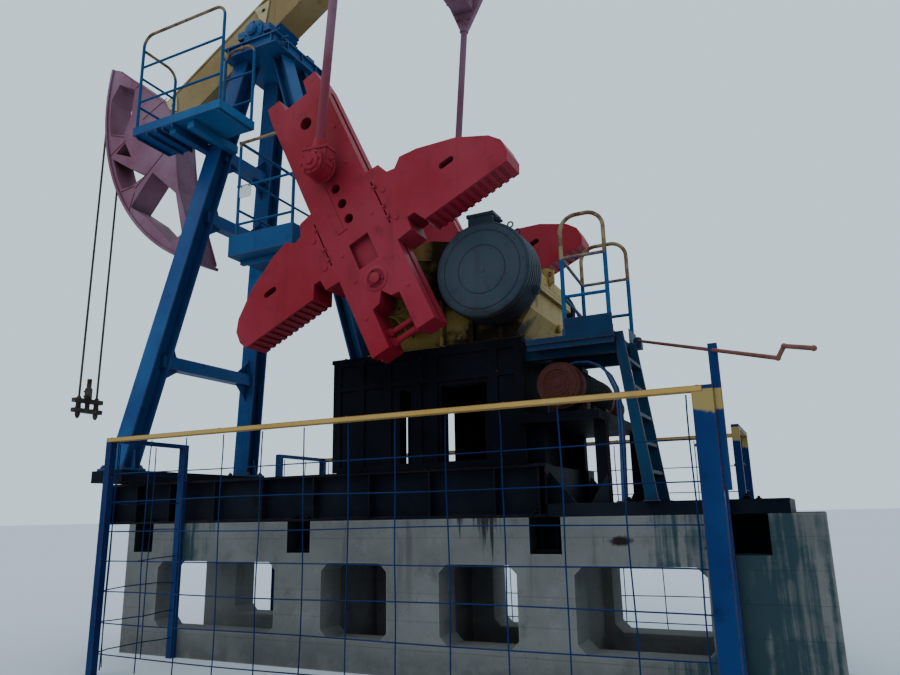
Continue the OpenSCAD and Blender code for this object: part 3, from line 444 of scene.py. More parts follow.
def make_finishes():
    """Every material of the machine by its short name.

    A paint has its colour, its faded and its dark tone, then how rough, rusty, grimy and darkened
    with painted shade in its corners, lumpy and worn at the edges it is.
    """
    return {
        "concrete": concrete(),
        "red": weathered_paint("crank_red", (0.228, 0.0092, 0.0190), (0.258, 0.023, 0.040),
                               (0.120, 0.006, 0.014), 0.40, 0.22, 0.55, 0.55, 0.35),
        "faded_red": weathered_paint("faded_red", (0.180, 0.066, 0.104), (0.224, 0.120, 0.170),
                                     (0.098, 0.034, 0.055), 0.55, 0.40, 0.45, 0.2, 0.45),
        "pitman_red": weathered_paint("pitman_red", (0.150, 0.054, 0.086), (0.190, 0.095, 0.135),
                                      (0.085, 0.030, 0.048), 0.55, 0.40, 0.45, 0.2, 0.45,
                                      patch=(redder_low_end, (0.165, 0.020, 0.034))),
        "ochre": weathered_paint("beam_ochre", (0.212, 0.132, 0.046), (0.262, 0.192, 0.095),
                                 (0.108, 0.058, 0.020), 0.48, 0.60, 0.55, 0.2, 0.6),
        # The gearbox's oil colour also darkens its corners: oil and painted shade there
        "gear_yellow": weathered_paint("gearbox_yellow", (0.290, 0.180, 0.040), (0.330, 0.235, 0.080),
                                       (0.100, 0.058, 0.016), 0.42, 0.35, 0.95, 0.5, 0.5,
                                       oil=(0.014, 0.010, 0.007),
                                       patch=(oil_and_shade_by_round_motor, (0.010, 0.008, 0.007))),
        "rail_yellow": weathered_paint("fence_yellow", (0.425, 0.248, 0.066), (0.460, 0.290, 0.092),
                                       (0.220, 0.115, 0.035), 0.50, 0.50, 0.35, 0.15, 0.6,
                                       patch=(blue_end_rails, (0.003, 0.017, 0.070))),
        "blue": weathered_paint("tower_blue", (0.006, 0.042, 0.150), (0.012, 0.080, 0.210),
                                (0.003, 0.017, 0.070), 0.38, 0.35, 0.50, 0.2, 0.55),
        "light_blue": weathered_paint("platform_blue", (0.004, 0.050, 0.160), (0.009, 0.094, 0.225),
                                      (0.002, 0.019, 0.074), 0.45, 0.45, 0.50, 0.15, 0.55),
        "mid_blue": weathered_paint("landing_blue", (0.003, 0.032, 0.116), (0.006, 0.060, 0.165),
                                    (0.0015, 0.012, 0.052), 0.45, 0.45, 0.55, 0.15, 0.55),
        # Darker copy of the platform blue for the service platform, its floor and its ladder: painted shade
        "blue_in_painted_shade": weathered_paint("service_blue_in_painted_shade", (0.0025, 0.021, 0.058), (0.006, 0.042, 0.082),
                                     (0.0015, 0.009, 0.028), 0.45, 0.45, 0.55, 0.15, 0.6),
        "post_blue": weathered_paint("fence_post_blue", (0.0025, 0.016, 0.080), (0.0065, 0.034, 0.122),
                                     (0.0013, 0.006, 0.036), 0.45, 0.45, 0.40, 0.15, 0.5,
                                     patch=(brushed_post_top, (0.300, 0.215, 0.075))),
        # Darker copy of the skid black: painted shade on every part that wears it
        "black_in_painted_shade": weathered_paint("black_in_painted_shade", (0.0022, 0.0028, 0.0050), (0.0060, 0.0068, 0.0100),
                                       (0.0010, 0.0012, 0.0020), 0.55, 0.35, 0.30, 0.2, 0.3, gloss=0.02),
        "black": weathered_paint("skid_black", (0.0050, 0.0065, 0.0110), (0.012, 0.014, 0.020),
                                 (0.0020, 0.0025, 0.0040), 0.45, 0.40, 0.30, 0.2, 0.35, gloss=0.03),
        "slate": weathered_paint("motor_slate", (0.027, 0.039, 0.053), (0.042, 0.056, 0.072),
                                 (0.012, 0.018, 0.026), 0.42, 0.20, 0.55, 0.35, 0.4,
                                 patch=(darker_round_motor_bottom, (0.009, 0.009, 0.010))),
        "rusty": weathered_paint("belt_motor_red", (0.042, 0.011, 0.011), (0.068, 0.022, 0.019),
                                 (0.020, 0.008, 0.007), 0.60, 0.90, 0.70, 0.3, 0.6),
        "pale_ear": weathered_paint("pale_ear_yellow", (0.370, 0.300, 0.150), (0.430, 0.370, 0.220),
                                    (0.220, 0.150, 0.065), 0.5, 0.35, 0.4, 0.1, 0.5),
        "bead_red": weathered_paint("weld_red", (0.080, 0.008, 0.014), (0.110, 0.018, 0.028),
                                    (0.040, 0.006, 0.010), 0.55, 0.6, 0.4, 0.2, 0.4),
        "wire_blue": weathered_paint("fence_wire_blue", (0.0016, 0.010, 0.058), (0.0035, 0.019, 0.088),
                                     (0.0006, 0.005, 0.029), 0.45, 0.30, 0.2, 0.1, 0.1),
        "shadow": weathered_paint("hole_shadow", (0.010, 0.008, 0.007), (0.014, 0.012, 0.010),
                                  (0.005, 0.004, 0.004), 0.8, 0.1, 0.1, 0.1, 0.1),
        "rope": wire_rope(),
        "belt": belt_rubber(),
        "dark_steel": bare_metal("greasy_steel", (0.10, 0.085, 0.070), (0.030, 0.024, 0.020), 0.8, 0.5),
        "rod_red": weathered_paint("brake_rod_red", (0.120, 0.035, 0.030), (0.170, 0.070, 0.055),
                                   (0.050, 0.020, 0.016), 0.55, 0.9, 0.4, 0.1, 0.6),
        "plate": weathered_paint("sign_white", (0.62, 0.62, 0.58), (0.68, 0.68, 0.64),
                                 (0.40, 0.39, 0.35), 0.4, 0.3, 0.4, 0.05, 0.5),
        "upper_rail": rail_paint("upper_rail_paint", 7.33, 7.13),
        "lower_rail": rail_paint("lower_rail_paint", 5.715, front=-0.765),
        "service_rail": rail_paint("service_rail_paint", 3.60),
    }


finishes = make_finishes()


# Shapes


def across(axis):
    """Two directions square to an axis and to each other."""
    axis = axis.normalized()
    side = axis.cross(UP if abs(axis.z) < 0.9 else REAR).normalized()
    return side, axis.cross(side)


class Shape:
    """Points and faces of one piece, gathered before they become an object."""

    def __init__(self, place=None):
        self.points, self.faces = [], []
        self.place = place or Matrix.Identity(4)

    def add(self, points, faces):
        start = len(self.points)
        self.points += [self.place @ Vector(p) for p in points]
        self.faces += [[start + i for i in face] for face in faces]

    def rings(self, loops, closed=False):
        """Skin over loops of the same number of points, capped unless closed."""
        n, count = len(loops[0]), len(loops)
        faces = []
        for k in range(count if closed else count - 1):
            a, b = k * n, (k + 1) % count * n
            faces += [[a + i, a + (i + 1) % n, b + (i + 1) % n, b + i] for i in range(n)]
        if not closed:
            faces += [list(range(n))[::-1], list(range((count - 1) * n, count * n))]
        self.add([p for loop in loops for p in loop], faces)

    def block(self, corner, opposite):
        """Box between two opposite corners, given in either order."""
        (x0, x1), (y0, y1), (z0, z1) = (sorted(pair) for pair in zip(corner, opposite))
        self.rings([[(x0, y0, z), (x1, y0, z), (x1, y1, z), (x0, y1, z)] for z in (z0, z1)])

    def prism(self, outline, face_y, back_y):
        """Flat outline in X and Z, thick from one Y to the other."""
        ends = sorted((face_y, back_y), reverse=True)
        self.rings([[(x, y, z) for x, z in outline] for y in ends])

    def turned(self, start, axis, profile, sides=24):
        """Round form: the profile lists how far along the axis and how wide."""
        start, axis = Vector(start), Vector(axis).normalized()
        side, other = across(axis)
        turn = [2 * math.pi * i / sides for i in range(sides)]
        self.rings([[start + axis * a + (side * math.cos(t) + other * math.sin(t)) * r for t in turn]
                    for a, r in profile])

    def tube(self, path, radius, sides=8, closed=False):
        """Round bar along a path, or a ring where the path is closed."""
        path = [Vector(p) for p in path]
        count = len(path)
        turns = [2 * math.pi * k / sides for k in range(sides)]
        loops, side = [], None
        for i, p in enumerate(path):
            before = path[i - 1] if i or closed else p
            after = path[(i + 1) % count] if i < count - 1 or closed else p
            run = (after - before).normalized()
            if side is None:
                side = across(run)[0]
            side = (side - run * side.dot(run)).normalized()
            other = run.cross(side)
            loops.append([p + (side * math.cos(t) + other * math.sin(t)) * radius for t in turns])
        self.rings(loops, closed)

    def plate(self, outline, thick):
        """Flat plate: its outline in space, and its thickness as a vector centred on it."""
        half = Vector(thick) / 2
        self.rings([[Vector(p) - half for p in outline], [Vector(p) + half for p in outline]])

    def bolt(self, seat, axis, across_flats, washer=True):
        """Hexagon head or nut on a washer, with the thread's end standing out."""
        r = across_flats / 1.732
        thick = 0.12 * across_flats if washer else 0.0
        if washer:
            self.turned(seat, axis, [(-0.001, r * 1.25), (thick, r * 1.25)], 16)
        self.turned(seat, axis, [(thick, r), (thick + 0.55 * r, r), (thick + 0.66 * r, r * 0.84)], 6)
        self.turned(seat, axis, [(thick + 0.6 * r, r * 0.5), (thick + 1.2 * r, r * 0.5)], 10)

    def bolts(self, seats, axis, across_flats, washer=True):
        for seat in seats:
            self.bolt(seat, axis, across_flats, washer)


def piece(name, shape, finish, body, smooth=35.0, bevel=0.0):
    """Makes a gathered shape into an object that rides on a body."""
    mesh = bpy.data.meshes.new(name)
    mesh.from_pydata(shape.points, [], shape.faces)
    mesh.validate()
    made = bpy.data.objects.new(name, mesh)
    bpy.context.scene.collection.objects.link(made)
    mesh.materials.append(finishes[finish])
    if smooth:
        mesh.shade_smooth()
        mesh.set_sharp_from_angle(angle=math.radians(smooth))
    if bevel:
        edge = made.modifiers.new("edge", "BEVEL")
        edge.width, edge.segments, edge.limit_method = bevel, 2, "ANGLE"
        edge.angle_limit = math.radians(40)
        edge.harden_normals = False
    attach(made, body)
    return made


def along(a, b, share):
    """Point at a share of the way from a to b."""
    return Vector(a) + (Vector(b) - Vector(a)) * share


def circle(centre, axis, radius, count, start=0.0):
    """Points round an axis, the first at an angle of start radians."""
    side, other = across(Vector(axis))
    return [Vector(centre) + (side * math.cos(t) + other * math.sin(t)) * radius
            for t in (start + 2 * math.pi * i / count for i in range(count))]


def spoke(degrees):
    """Direction square to Y, turned from the rear up by an angle."""
    turn = math.radians(degrees)
    return Vector((math.cos(turn), 0, math.sin(turn)))


AT_CRANK = Matrix.Translation(SHAFT) @ Matrix.Rotation(math.radians(-CRANK_LEAN), 4, "Y")
AT_BEAM = Matrix.Translation(PIVOT) @ Matrix.Rotation(math.radians(-BEAM_LEAN), 4, "Y")
AT_TAIL = Matrix.Translation(TAIL_PIN) @ Matrix.Rotation(math.radians(PITMAN_LEAN), 4, "Y")
AT_WRIST = AT_TAIL @ Matrix.Translation((0, 0, -PITMAN_L))


# Cranks and counterweights


def dress_crank(side, word):
    """Raised band, shaft cap, slot blocks, plugs and fork bolts of one crank."""
    out = Vector((0, side, 0))
    face = side * CRANK_OUT
    sunk = face - side * 0.01
    band = Shape(AT_CRANK)
    band.prism([(-0.175, 0.640), (-0.055, 0.640), (-0.055, 0.660), (-0.090, 0.672),
                (-0.090, 1.190), (-0.175, 1.190)], sunk, face + side * 0.007)
    piece(word + "_crank_band", band, "red", "cranks", bevel=0.004)
    cap = Shape(AT_CRANK)
    cap.turned((0, sunk, 0), out, [(0, 0.128), (0.014, 0.128), (0.018, 0.122)], 40)
    cap.turned((0, face, 0), out, [(0.010, 0.052), (0.026, 0.052), (0.029, 0.046)], 32)
    cap.bolts(circle((0, face + side * 0.016, 0), out, 0.085, 3, 0.5), out, 0.020, False)
    piece(word + "_shaft_cap", cap, "red", "cranks")
    plugs = Shape(AT_CRANK)
    for v in (-0.37, 0.37):
        for u in (0.47, 0.595, 0.84):
            plugs.block((v - 0.032, face - side * 0.055, u - 0.028), (v + 0.032, face, u + 0.028))
            plugs.turned((v, sunk, u), out, [(0, 0.014), (0.028, 0.014)], 10)
    seat = face - side * 0.004
    for v in (-0.26, 0.26):
        plugs.turned((v, seat, 2.435), out, [(0, 0.014), (0.006, 0.014)], 12)
    for v, u in ((-0.24, 1.62), (0.22, 1.30), (-0.20, 0.10), (0.24, 0.62), (-0.25, -0.30), (0.26, -0.25),
                 (-0.22, 0.42), (0.27, 1.75)):
        plugs.turned((v, seat, u), out, [(0, 0.020), (0.008, 0.019), (0.010, 0.015)], 14)
    piece(word + "_crank_plugs", plugs, "red", "cranks")
    clamp = Shape(AT_CRANK)
    middle = side * (CRANK_IN + CRANK_OUT) / 2
    fork_half = 0.150
    for u in (-0.50, -0.60):
        clamp.turned((-fork_half, middle, u), REAR, [(-0.02, 0.030), (0.32, 0.030)], 20)
    for way in (1, -1):
        clamp.bolts([(-way * fork_half, middle, u) for u in (-0.50, -0.60)], (way, 0, 0), 0.085)
    piece(word + "_fork_bolts", clamp, "red", "cranks")


def dress_weight(side, edge, word):
    """Stud ends on the outer face of one counterweight."""
    studs = Shape(AT_CRANK)
    for u in (0.420, 0.760):
        seat = (edge * (CRANK_HALF + 0.085), side * (CRANK_OUT - 0.03), u)
        studs.turned(seat, (0, side, 0), [(0, 0.030), (0.034, 0.029), (0.038, 0.024)], 20)
    piece(word + "_weight_bolts", studs, "red", "cranks")


# Pitmans and equalizer


def dress_wrist(side, word):
    """Cover, flange, clamp and pitman socket of one wrist bearing."""
    out = Vector((0, side, 0))
    middle = side * PITMAN_Y
    face = middle + side * 0.085
    cover = Shape(AT_WRIST)
    cover.turned((0, face, 0), out, [(-0.004, 0.124), (0.022, 0.124), (0.028, 0.117), (0.028, 0.092),
                                     (0.040, 0.090), (0.046, 0.083), (0.046, 0.042), (0.058, 0.040),
                                     (0.063, 0.034)], 44)
    cover.bolts(circle((0, face + side * 0.027, 0), out, 0.106, 8, 0.2), out, 0.020, False)
    cover.turned((0, middle - side * 0.078, 0), -out, [(-0.010, 0.150), (0.008, 0.152), (0.014, 0.146)], 44)
    cover.turned((0, middle - side * 0.105, 0), -out, [(-0.02, 0.090), (0.03, 0.082)], 32)
    cover.block((-0.150, middle - 0.078, 0.148), (0.150, middle + 0.078, 0.176))
    for x in (-0.115, 0.115):
        cover.bolts([(x, middle + y, 0.176) for y in (-0.045, 0.045)], UP, 0.036)
    cover.turned((0, middle, 0.170), UP, [(0, 0.072), (0.055, 0.066), (0.105, 0.058), (0.112, 0.050)], 28)
    cover.turned((0.125, middle, 0.05), (1, 0, 0.3), [(0, 0.022), (0.035, 0.020), (0.05, 0.012)], 12)
    for x in (-0.132, 0.132):
        cover.block((x - 0.010, middle - 0.060, -0.02), (x + 0.010, middle + 0.060, 0.150))
    piece(word + "_wrist_cover", cover, "red", "pitmans", bevel=0.002)


def dress_equalizer():
    """Pin bolts, stiffeners, end caps and weld beads of the cross beam over the pitmans."""
    shape = Shape(AT_TAIL)
    pins = ((-0.215, -0.165), (0.215, -0.165), (-0.08, -0.50), (0.08, -0.50), (0, -0.590))
    for side in (-1, 1):
        out = Vector((0, side, 0))
        for cheek, way in ((0.040, out), (-0.040, -out)):
            shape.bolts([(x, side * (PITMAN_Y + cheek), z) for x, z in pins], way, 0.040)
        for y in (0.30, 0.62, 0.94, 1.26):
            for x in (-0.140, 0.140):
                lip = x + math.copysign(0.045, x)
                shape.plate([(x, side * y, -0.118), (x, side * y, -0.377), (lip, side * y, -0.360),
                             (lip, side * y, -0.135)], (0, 0.014, 0))
        shape.turned((0, side * PITMAN_Y, -0.600), -UP, [(0, 0.066), (0.08, 0.064), (0.09, 0.054)], 28)
        shape.turned((0, side * 0.120, 0), out, [(0, 0.104), (0.010, 0.104), (0.012, 0.098)], 36)
        for x in (-0.143, 0.143):
            shape.tube([(x, side * 0.14, -0.117), (x, side * 1.545, -0.117)], 0.007, 6)
    shape.block((-0.150, -1.550, -0.392), (0.150, 1.550, -0.374))
    piece("equalizer_fittings", shape, "faded_red", "pitmans", bevel=0.002)


# Beam and horse head

# Each ear's hole in X and Z, and the radius of the boss round it
EAR_HOLES = ((0.205, 0.500, 0.034), (-1.655, 0.500, 0.030))


def weld_beam():
    """Corner and stiffener welds and the lifting ears on the sides of the walking beam."""
    low, high = BEAM_LOW + BEAM_PLATE, BEAM_HIGH - BEAM_PLATE
    rear_ear = ((0.10, 0.645), (0.36, 0.560), (0.125, 0.290), (0.09, 0.45))
    front_ear = ((-1.735, 0.50), (-1.735, 0.640), (-1.60, 0.640), (-1.540, 0.565), (-1.640, 0.355))
    welds = Shape(AT_BEAM)
    ears = Shape(AT_BEAM)
    for side in (-1, 1):
        y = side * BEAM_SIDE
        for z in (low, high):
            welds.tube([(-1.740, y, z), (2.715, y, z)], 0.008, 6)
        for x in (-0.62, 1.15):
            welds.tube([(x, y, low), (x, y, high)], 0.005, 6)
        y += side * 0.009
        for outline in (rear_ear, front_ear):
            ears.plate([(x, y, z) for x, z in outline], (0, 0.016, 0))
        for x, z, boss in EAR_HOLES:
            ears.turned((x, y + side * 0.008, z), (0, side, 0), [(-0.002, boss), (0.003, boss)], 24)
    piece("beam_welds", welds, "ochre", "beam")
    piece("beam_ears", ears, "pale_ear", "beam")


def bolt_beam():
    """Ear holes, front bolts and tail bearing clamps of the walking beam."""
    holes = Shape(AT_BEAM)
    bolts = Shape(AT_BEAM)
    clamp_bolts = ((-0.06, 0.05), (0.06, 0.05), (0.06, -0.02), (-0.06, -0.02))
    for side in (-1, 1):
        out = Vector((0, side, 0))
        for x, z, _ in EAR_HOLES:
            holes.turned((x, side * (BEAM_SIDE + 0.014), z), out, [(-0.002, 0.027), (0.0062, 0.027)], 20)
        bolts.bolts([(x, side * 0.150, BEAM_HIGH) for x in (-1.62, -1.50, -1.38)], UP, 0.040)
        bolts.bolts([(TAIL_CLAMP_X + x, side * 0.190, z) for x, z in clamp_bolts], out, 0.030)
        bolts.turned((TAIL_CLAMP_X, side * 0.200, -0.110), out,
                     [(-0.01, 0.070), (0.014, 0.070), (0.018, 0.064)], 28)
    piece("beam_ear_holes", holes, "shadow", "beam")
    piece("beam_bolts", bolts, "blue", "beam")


def seat_beam():
    """Saddle plate under the walking beam and its gussets."""
    seat = Shape(AT_BEAM)
    seat.block((-0.300, -0.205, BEAM_LOW - 0.022), (0.300, 0.205, BEAM_LOW - 0.001))
    top = BEAM_LOW - 0.02
    for x in (-0.2, 0.0, 0.2):
        for side in (-1, 1):
            inner, outer = side * 0.188, side * 0.255
            seat.plate([(x, inner, 0.040), (x, inner, top), (x, outer, top), (x, outer, 0.060)],
                       (0.016, 0, 0))
    piece("saddle_seat", seat, "blue", "beam", bevel=0.002)


def on_head(radius, degrees):
    """Point in the beam's X and Z on an arc of the horse head."""
    turn = math.radians(degrees)
    return -radius * math.cos(turn), radius * math.sin(turn)


def dress_head():
    """Front plate, weld beads, edge plates and cable sockets of the horse head."""
    steps = 48
    first, last = HEAD_TURNS
    turns = [first + (last - first) * i / steps for i in range(steps + 1)]
    front, back = HEAD_R - 0.0015, HEAD_R - 0.042
    rim = Shape(AT_BEAM)
    for side in (-1, 1):
        for a, b in zip(turns, turns[1:]):
            quad = [on_head(front, a), on_head(front, b), on_head(back, b), on_head(back, a)]
            rim.prism(quad, side * 0.170, side * (HEAD_HALF + 0.022))
    piece("head_front_plate", rim, "faded_red", "beam", smooth=20.0)
    beads = Shape(AT_BEAM)
    edge = Shape(AT_BEAM)
    for side in (-1, 1):
        y = side * HEAD_HALF
        for a, b in (((-1.70, 0.735), (-2.20, 0.800)), ((-2.61, 0.756), (-3.02, 0.768)),
                     ((-2.80, 1.070), (-2.61, 0.830)), ((-2.19, -0.020), (-2.80, -0.100)),
                     ((-2.84, -0.150), (-3.05, -0.330)), ((-2.80, -0.056), (-3.04, 0.060)),
                     ((-1.76, 0.120), (-2.19, -0.020)), ((-1.99, 1.380), (-2.08, 1.400))):
            wander = [along((a[0], y, a[1]), (b[0], y, b[1]), i / 10) for i in range(11)]
            for i, point in enumerate(wander):
                point.z += 0.003 * math.sin(3.7 * i + a[0] * 9)
            beads.tube(wander, 0.0065, 6)
        for path in (((-1.755, 0.700), (-1.985, 1.410), (-2.155, 1.905)),
                     ((-1.870, 0.030), (-1.985, -0.245), (-2.175, -0.720), (-2.390, -1.850))):
            for start, end in zip(path, path[1:]):
                a, b = Vector((start[0], y, start[1])), Vector((end[0], y, end[1]))
                way = (b - a).normalized()
                inward = Vector((-abs(way.z), 0, way.x * (1 if way.z < 0 else -1))) * 0.022
                edge.plate([a, b, b + inward, a + inward], (0, 0.022, 0))
    piece("head_weld_beads", beads, "bead_red", "beam")
    piece("head_edge_plates", edge, "faded_red", "beam", bevel=0.002)
    sockets = Shape(AT_BEAM)
    x, z = on_head(HEAD_R + 0.015, HEAD_TURNS[1] - 0.1)
    for y in (-CABLE_Y, CABLE_Y):
        sockets.turned((x, y, z), (-0.67, 0, -0.74), [(-0.02, 0.030), (0.10, 0.028), (0.12, 0.020)], 16)
    piece("cable_sockets", sockets, "dark_steel", "beam")


# Hanger


def dress_carrier():
    """Cable nuts, clamp halves and bolts of the pair of bars that carries the polished rod."""
    x, z = WELL_X, CARRIER_Z
    bar_top = z + 0.194
    shape = Shape()
    for y in (-CABLE_Y, CABLE_Y):
        for level in (0.028, 0.167):
            for way in (-1, 1):
                shape.bolt((x, y + way * 0.040, z + level), (0, way, 0), 0.026)
        shape.turned((x, y, bar_top), UP, [(0, 0.030), (0.020, 0.028), (0.034, 0.018)], 16)
        shape.turned((x, y, z + 0.066), UP, [(0, 0.041), (0.018, 0.041)], 6)
    shape.turned((x, 0, bar_top), UP, [(0, 0.050), (0.016, 0.050), (0.020, 0.046)], 24)
    for level in (0.235, 0.300):
        for side in (-1, 1):
            shape.bolt((x - 0.020, side * 0.044, z + level), (0, side, 0), 0.024, False)
    for level in (0.395, 0.450):
        shape.bolt((x - 0.030, 0, z + level), FRONT, 0.020, False)
    piece("carrier_fittings", shape, "dark_steel", "hanger", bevel=0.0015)


# Fence wires


def wavy_wire(shape, a, b, radius, rng, sway, off):
    """Thin wire from a to b, bent a little out of its plane and along it."""
    a, b = Vector(a), Vector(b)
    steps = max(4, int((b - a).length / 0.12))
    phase = [rng.uniform(0, 6.28) for _ in range(4)]
    drift = rng.uniform(-sway, sway)
    flat = (b - a).normalized().cross(off).normalized()
    path = []
    for i in range(steps + 1):
        share = i / steps
        hold = math.sin(math.pi * share) ** 0.5
        bend = (math.sin(5 * share + phase[0]) + 0.5 * math.sin(11 * share + phase[1])) * 0.5
        bulge = math.sin(4 * share + phase[2]) + 0.4 * math.sin(13 * share + phase[3])
        path.append(a.lerp(b, share) + flat * hold * (sway * bend + drift) + off * hold * 0.008 * bulge)
    shape.tube(path, radius, 6)


def mesh_panel(start, direction, length, seed):
    """Wire panel of bent uprights and levels, in place of the straight one of the solids."""
    rng = random.Random(seed)
    start, direction = Vector(start), Vector(direction)
    end = start + direction * length
    off = direction.cross(UP).normalized()
    wire = 0.0055
    shape = Shape()
    at = 0.07
    while at < length:
        foot = start + direction * at
        wavy_wire(shape, foot + UP * 0.06, foot + UP * (FENCE_H - 0.015), wire, rng, 0.014, off)
        at += 0.45
    level = 0.20
    while level < FENCE_H - 0.06:
        wavy_wire(shape, start + UP * level, end + UP * level, wire, rng, 0.016, off)
        level += 0.273
    return shape


# Gearbox and motors


def bolt_gearbox():
    """Flange, foot, bearing and end bolts of the gearbox."""
    bolts = Shape()
    top, under = SHAFT.z + 0.040, SHAFT.z - 0.040
    for side in (-1, 1):
        out = Vector((0, side, 0))
        for i in range(14):
            x = -0.44 + i * 0.131
            behind_motor = side < 0 and x > 0.55
            if abs(x - SHAFT.x) < 0.30 or behind_motor:
                continue
            bolts.bolt((x, side * 0.600, top), UP, 0.034)
            bolts.bolt((x, side * 0.600, under), -UP, 0.034)
        for x in (-0.36, -0.10, 0.30, 0.62, 0.94, 1.18):
            bolts.bolt((x, side * 0.610, STAND_TOP + 0.050), UP, 0.050)
        for x in (-0.255, 0.375):
            for y in (0.800, 0.930):
                bolts.bolt((x, side * y, SHAFT.z + 0.052), UP, 0.060)
        bolts.bolts(circle((SHAFT.x, side * 0.982, SHAFT.z), out, 0.235, 12, 0.26), out, 0.030)
    for y in (-0.45, -0.30, -0.15, 0.0, 0.15, 0.30, 0.45):
        for x in (1.305, -0.466):
            bolts.bolt((x, y, top), UP, 0.034)
    piece("gearbox_bolts", bolts, "gear_yellow", "base")


def rib_gearbox():
    """Bearing caps, ribs, cover plate, breather, sight glass and lifting eyes of the gearbox."""
    form = Shape()
    top = SHAFT.z + 0.040
    for side in (-1, 1):
        out = Vector((0, side, 0))
        for low, high in ((-0.052, 0.0), (0.0, 0.052)):
            form.block((SHAFT.x - 0.370, side * 0.70, SHAFT.z + low),
                       (SHAFT.x + 0.370, side * 0.970, SHAFT.z + high))
        form.turned((SHAFT.x, side * 0.970, SHAFT.z), out, [(0, 0.266), (0.016, 0.266), (0.020, 0.258)], 48)
        for turn in (60, 90, 120, 240, 270, 300):
            way = spoke(turn)
            root = SHAFT + way * 0.27
            form.plate([root + out * 0.560, root + out * 0.955, root + out * 0.930 + way * 0.05,
                        root + out * 0.60 + way * 0.15], way.cross(out) * 0.022)
        for x in (-0.20, 0.38, 0.70, 1.00):
            if side > 0 or x < 0.5:
                form.plate([(x, side * 0.528, top), (x, side * 0.625, top), (x, side * 0.536, SHAFT.z + 0.30),
                            (x, side * 0.528, SHAFT.z + 0.34)], (0.020, 0, 0))
    form.block((-0.10, -0.22, SHAFT.z + 0.575), (0.34, 0.22, SHAFT.z + 0.602))
    form.turned((0.60, 0.20, SHAFT.z + 0.46), UP,
                [(0, 0.030), (0.10, 0.030), (0.10, 0.052), (0.14, 0.052), (0.155, 0.040)], 20)
    form.turned((1.292, 0.30, 3.24), REAR, [(-0.03, 0.045), (0.016, 0.045), (0.022, 0.036)], 24)
    for y in (0.35, -0.35):
        form.tube(circle((-0.26, y, SHAFT.z + 0.560), FAR, 0.042, 16), 0.014, 8, closed=True)
    piece("gearbox_ribs_and_caps", form, "gear_yellow", "base", bevel=0.003)
    lid = Shape()
    for x in (-0.06, 0.12, 0.30):
        for y in (-0.18, 0.18):
            lid.bolt((x, y, SHAFT.z + 0.602), UP, 0.028)
    lid.bolts(circle((1.314, 0.30, 3.24), REAR, 0.030, 4), REAR, 0.010, False)
    piece("gearbox_lid_bolts", lid, "dark_steel", "base")


def turn_motor_body():
    """Grooved face, cooling fins and terminal box of the round drive motor."""
    x, y, z = MOTOR
    groove, fin_root = 0.006, MOTOR_R - 0.014
    profile = [(0, 0.001)]
    for share in (0.49, 0.80):
        inner, outer = share * MOTOR_R, (share + 0.02) * MOTOR_R
        profile += [(0, inner), (groove, inner), (groove, outer), (0, outer)]
    profile.append((0, MOTOR_R - 0.025))
    for i in range(7):
        at = 0.025 + i * 0.045
        profile += [(at, MOTOR_R), (at + 0.027, MOTOR_R), (at + 0.027, fin_root), (at + 0.045, fin_root)]
    profile.append((0.370, fin_root))
    body = Shape()
    body.turned(MOTOR, FAR, profile, 128)
    body.block((x - 0.140, y + 0.040, z + 0.86 * MOTOR_R), (x + 0.110, y + 0.220, MOTOR_BOX_TOP))
    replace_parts(piece("drive_motor_body", body, "slate", "base"), "drive_motor")


def fit_drive_motor():
    """Face seams, screws, terminal box lid, glands, eyes, feet and rear flange of the drive motor."""
    x, y, z = MOTOR
    lid = MOTOR_BOX_TOP
    shape = Shape()
    for radius, thick in ((0.4455, 0.0045), (0.372, 0.004), (0.2285, 0.004)):
        shape.tube(circle(MOTOR, NEAR, radius, 96), thick, 6, closed=True)
    shape.turned(MOTOR, NEAR, [(-0.002, 0.036), (0.0022, 0.035), (0.004, 0.030)], 28)
    shape.block((x - 0.152, y + 0.028, lid - 0.014), (x + 0.122, y + 0.232, lid + 0.016))
    for dx in (-0.136, 0.106):
        for dy in (0.044, 0.216):
            shape.turned((x + dx, y + dy, lid + 0.014), UP, [(0, 0.011), (0.008, 0.011), (0.010, 0.007)], 10)
    for dy in (0.10, 0.17):
        shape.turned((x + 0.108, y + dy, lid - 0.045), REAR,
                     [(0, 0.022), (0.020, 0.022), (0.022, 0.016), (0.05, 0.014)], 6)
    for depth in (0.10, 0.29):
        for turn in (122, 58):
            way = spoke(turn)
            seat = MOTOR + FAR * depth + way * (MOTOR_R - 0.010)
            shape.turned(seat, way, [(-0.01, 0.026), (0.016, 0.024), (0.020, 0.016)], 14)
            shape.tube(circle(seat + way * 0.040, FAR, 0.026, 16), 0.0075, 8, closed=True)
    for turn in (205, 335):
        way = spoke(turn)
        along_rim = way.cross(NEAR)
        seat = MOTOR + FAR * 0.25 + way * (MOTOR_R - 0.015)
        shape.plate([seat - along_rim * 0.05, seat + along_rim * 0.05, seat + along_rim * 0.03 + way * 0.06,
                     seat - along_rim * 0.03 + way * 0.06], (0, 0.040, 0))
    shape.turned((x, -0.640, z), FAR, [(-0.01, 0.36), (0.02, 0.36), (0.075, 0.30)], 48)
    piece("drive_motor_fittings", shape, "slate", "base")
    screws = Shape()
    for radius, count, start, width in ((0.408, 12, 0.1, 0.0095), (0.200, 8, 0.3, 0.0070)):
        for seat in circle(MOTOR, NEAR, radius, count, start):
            screws.turned(seat, NEAR, [(-0.002, width), (0.003, width), (0.0045, width * 0.75)], 12)
    piece("drive_motor_screws", screws, "slate", "base")


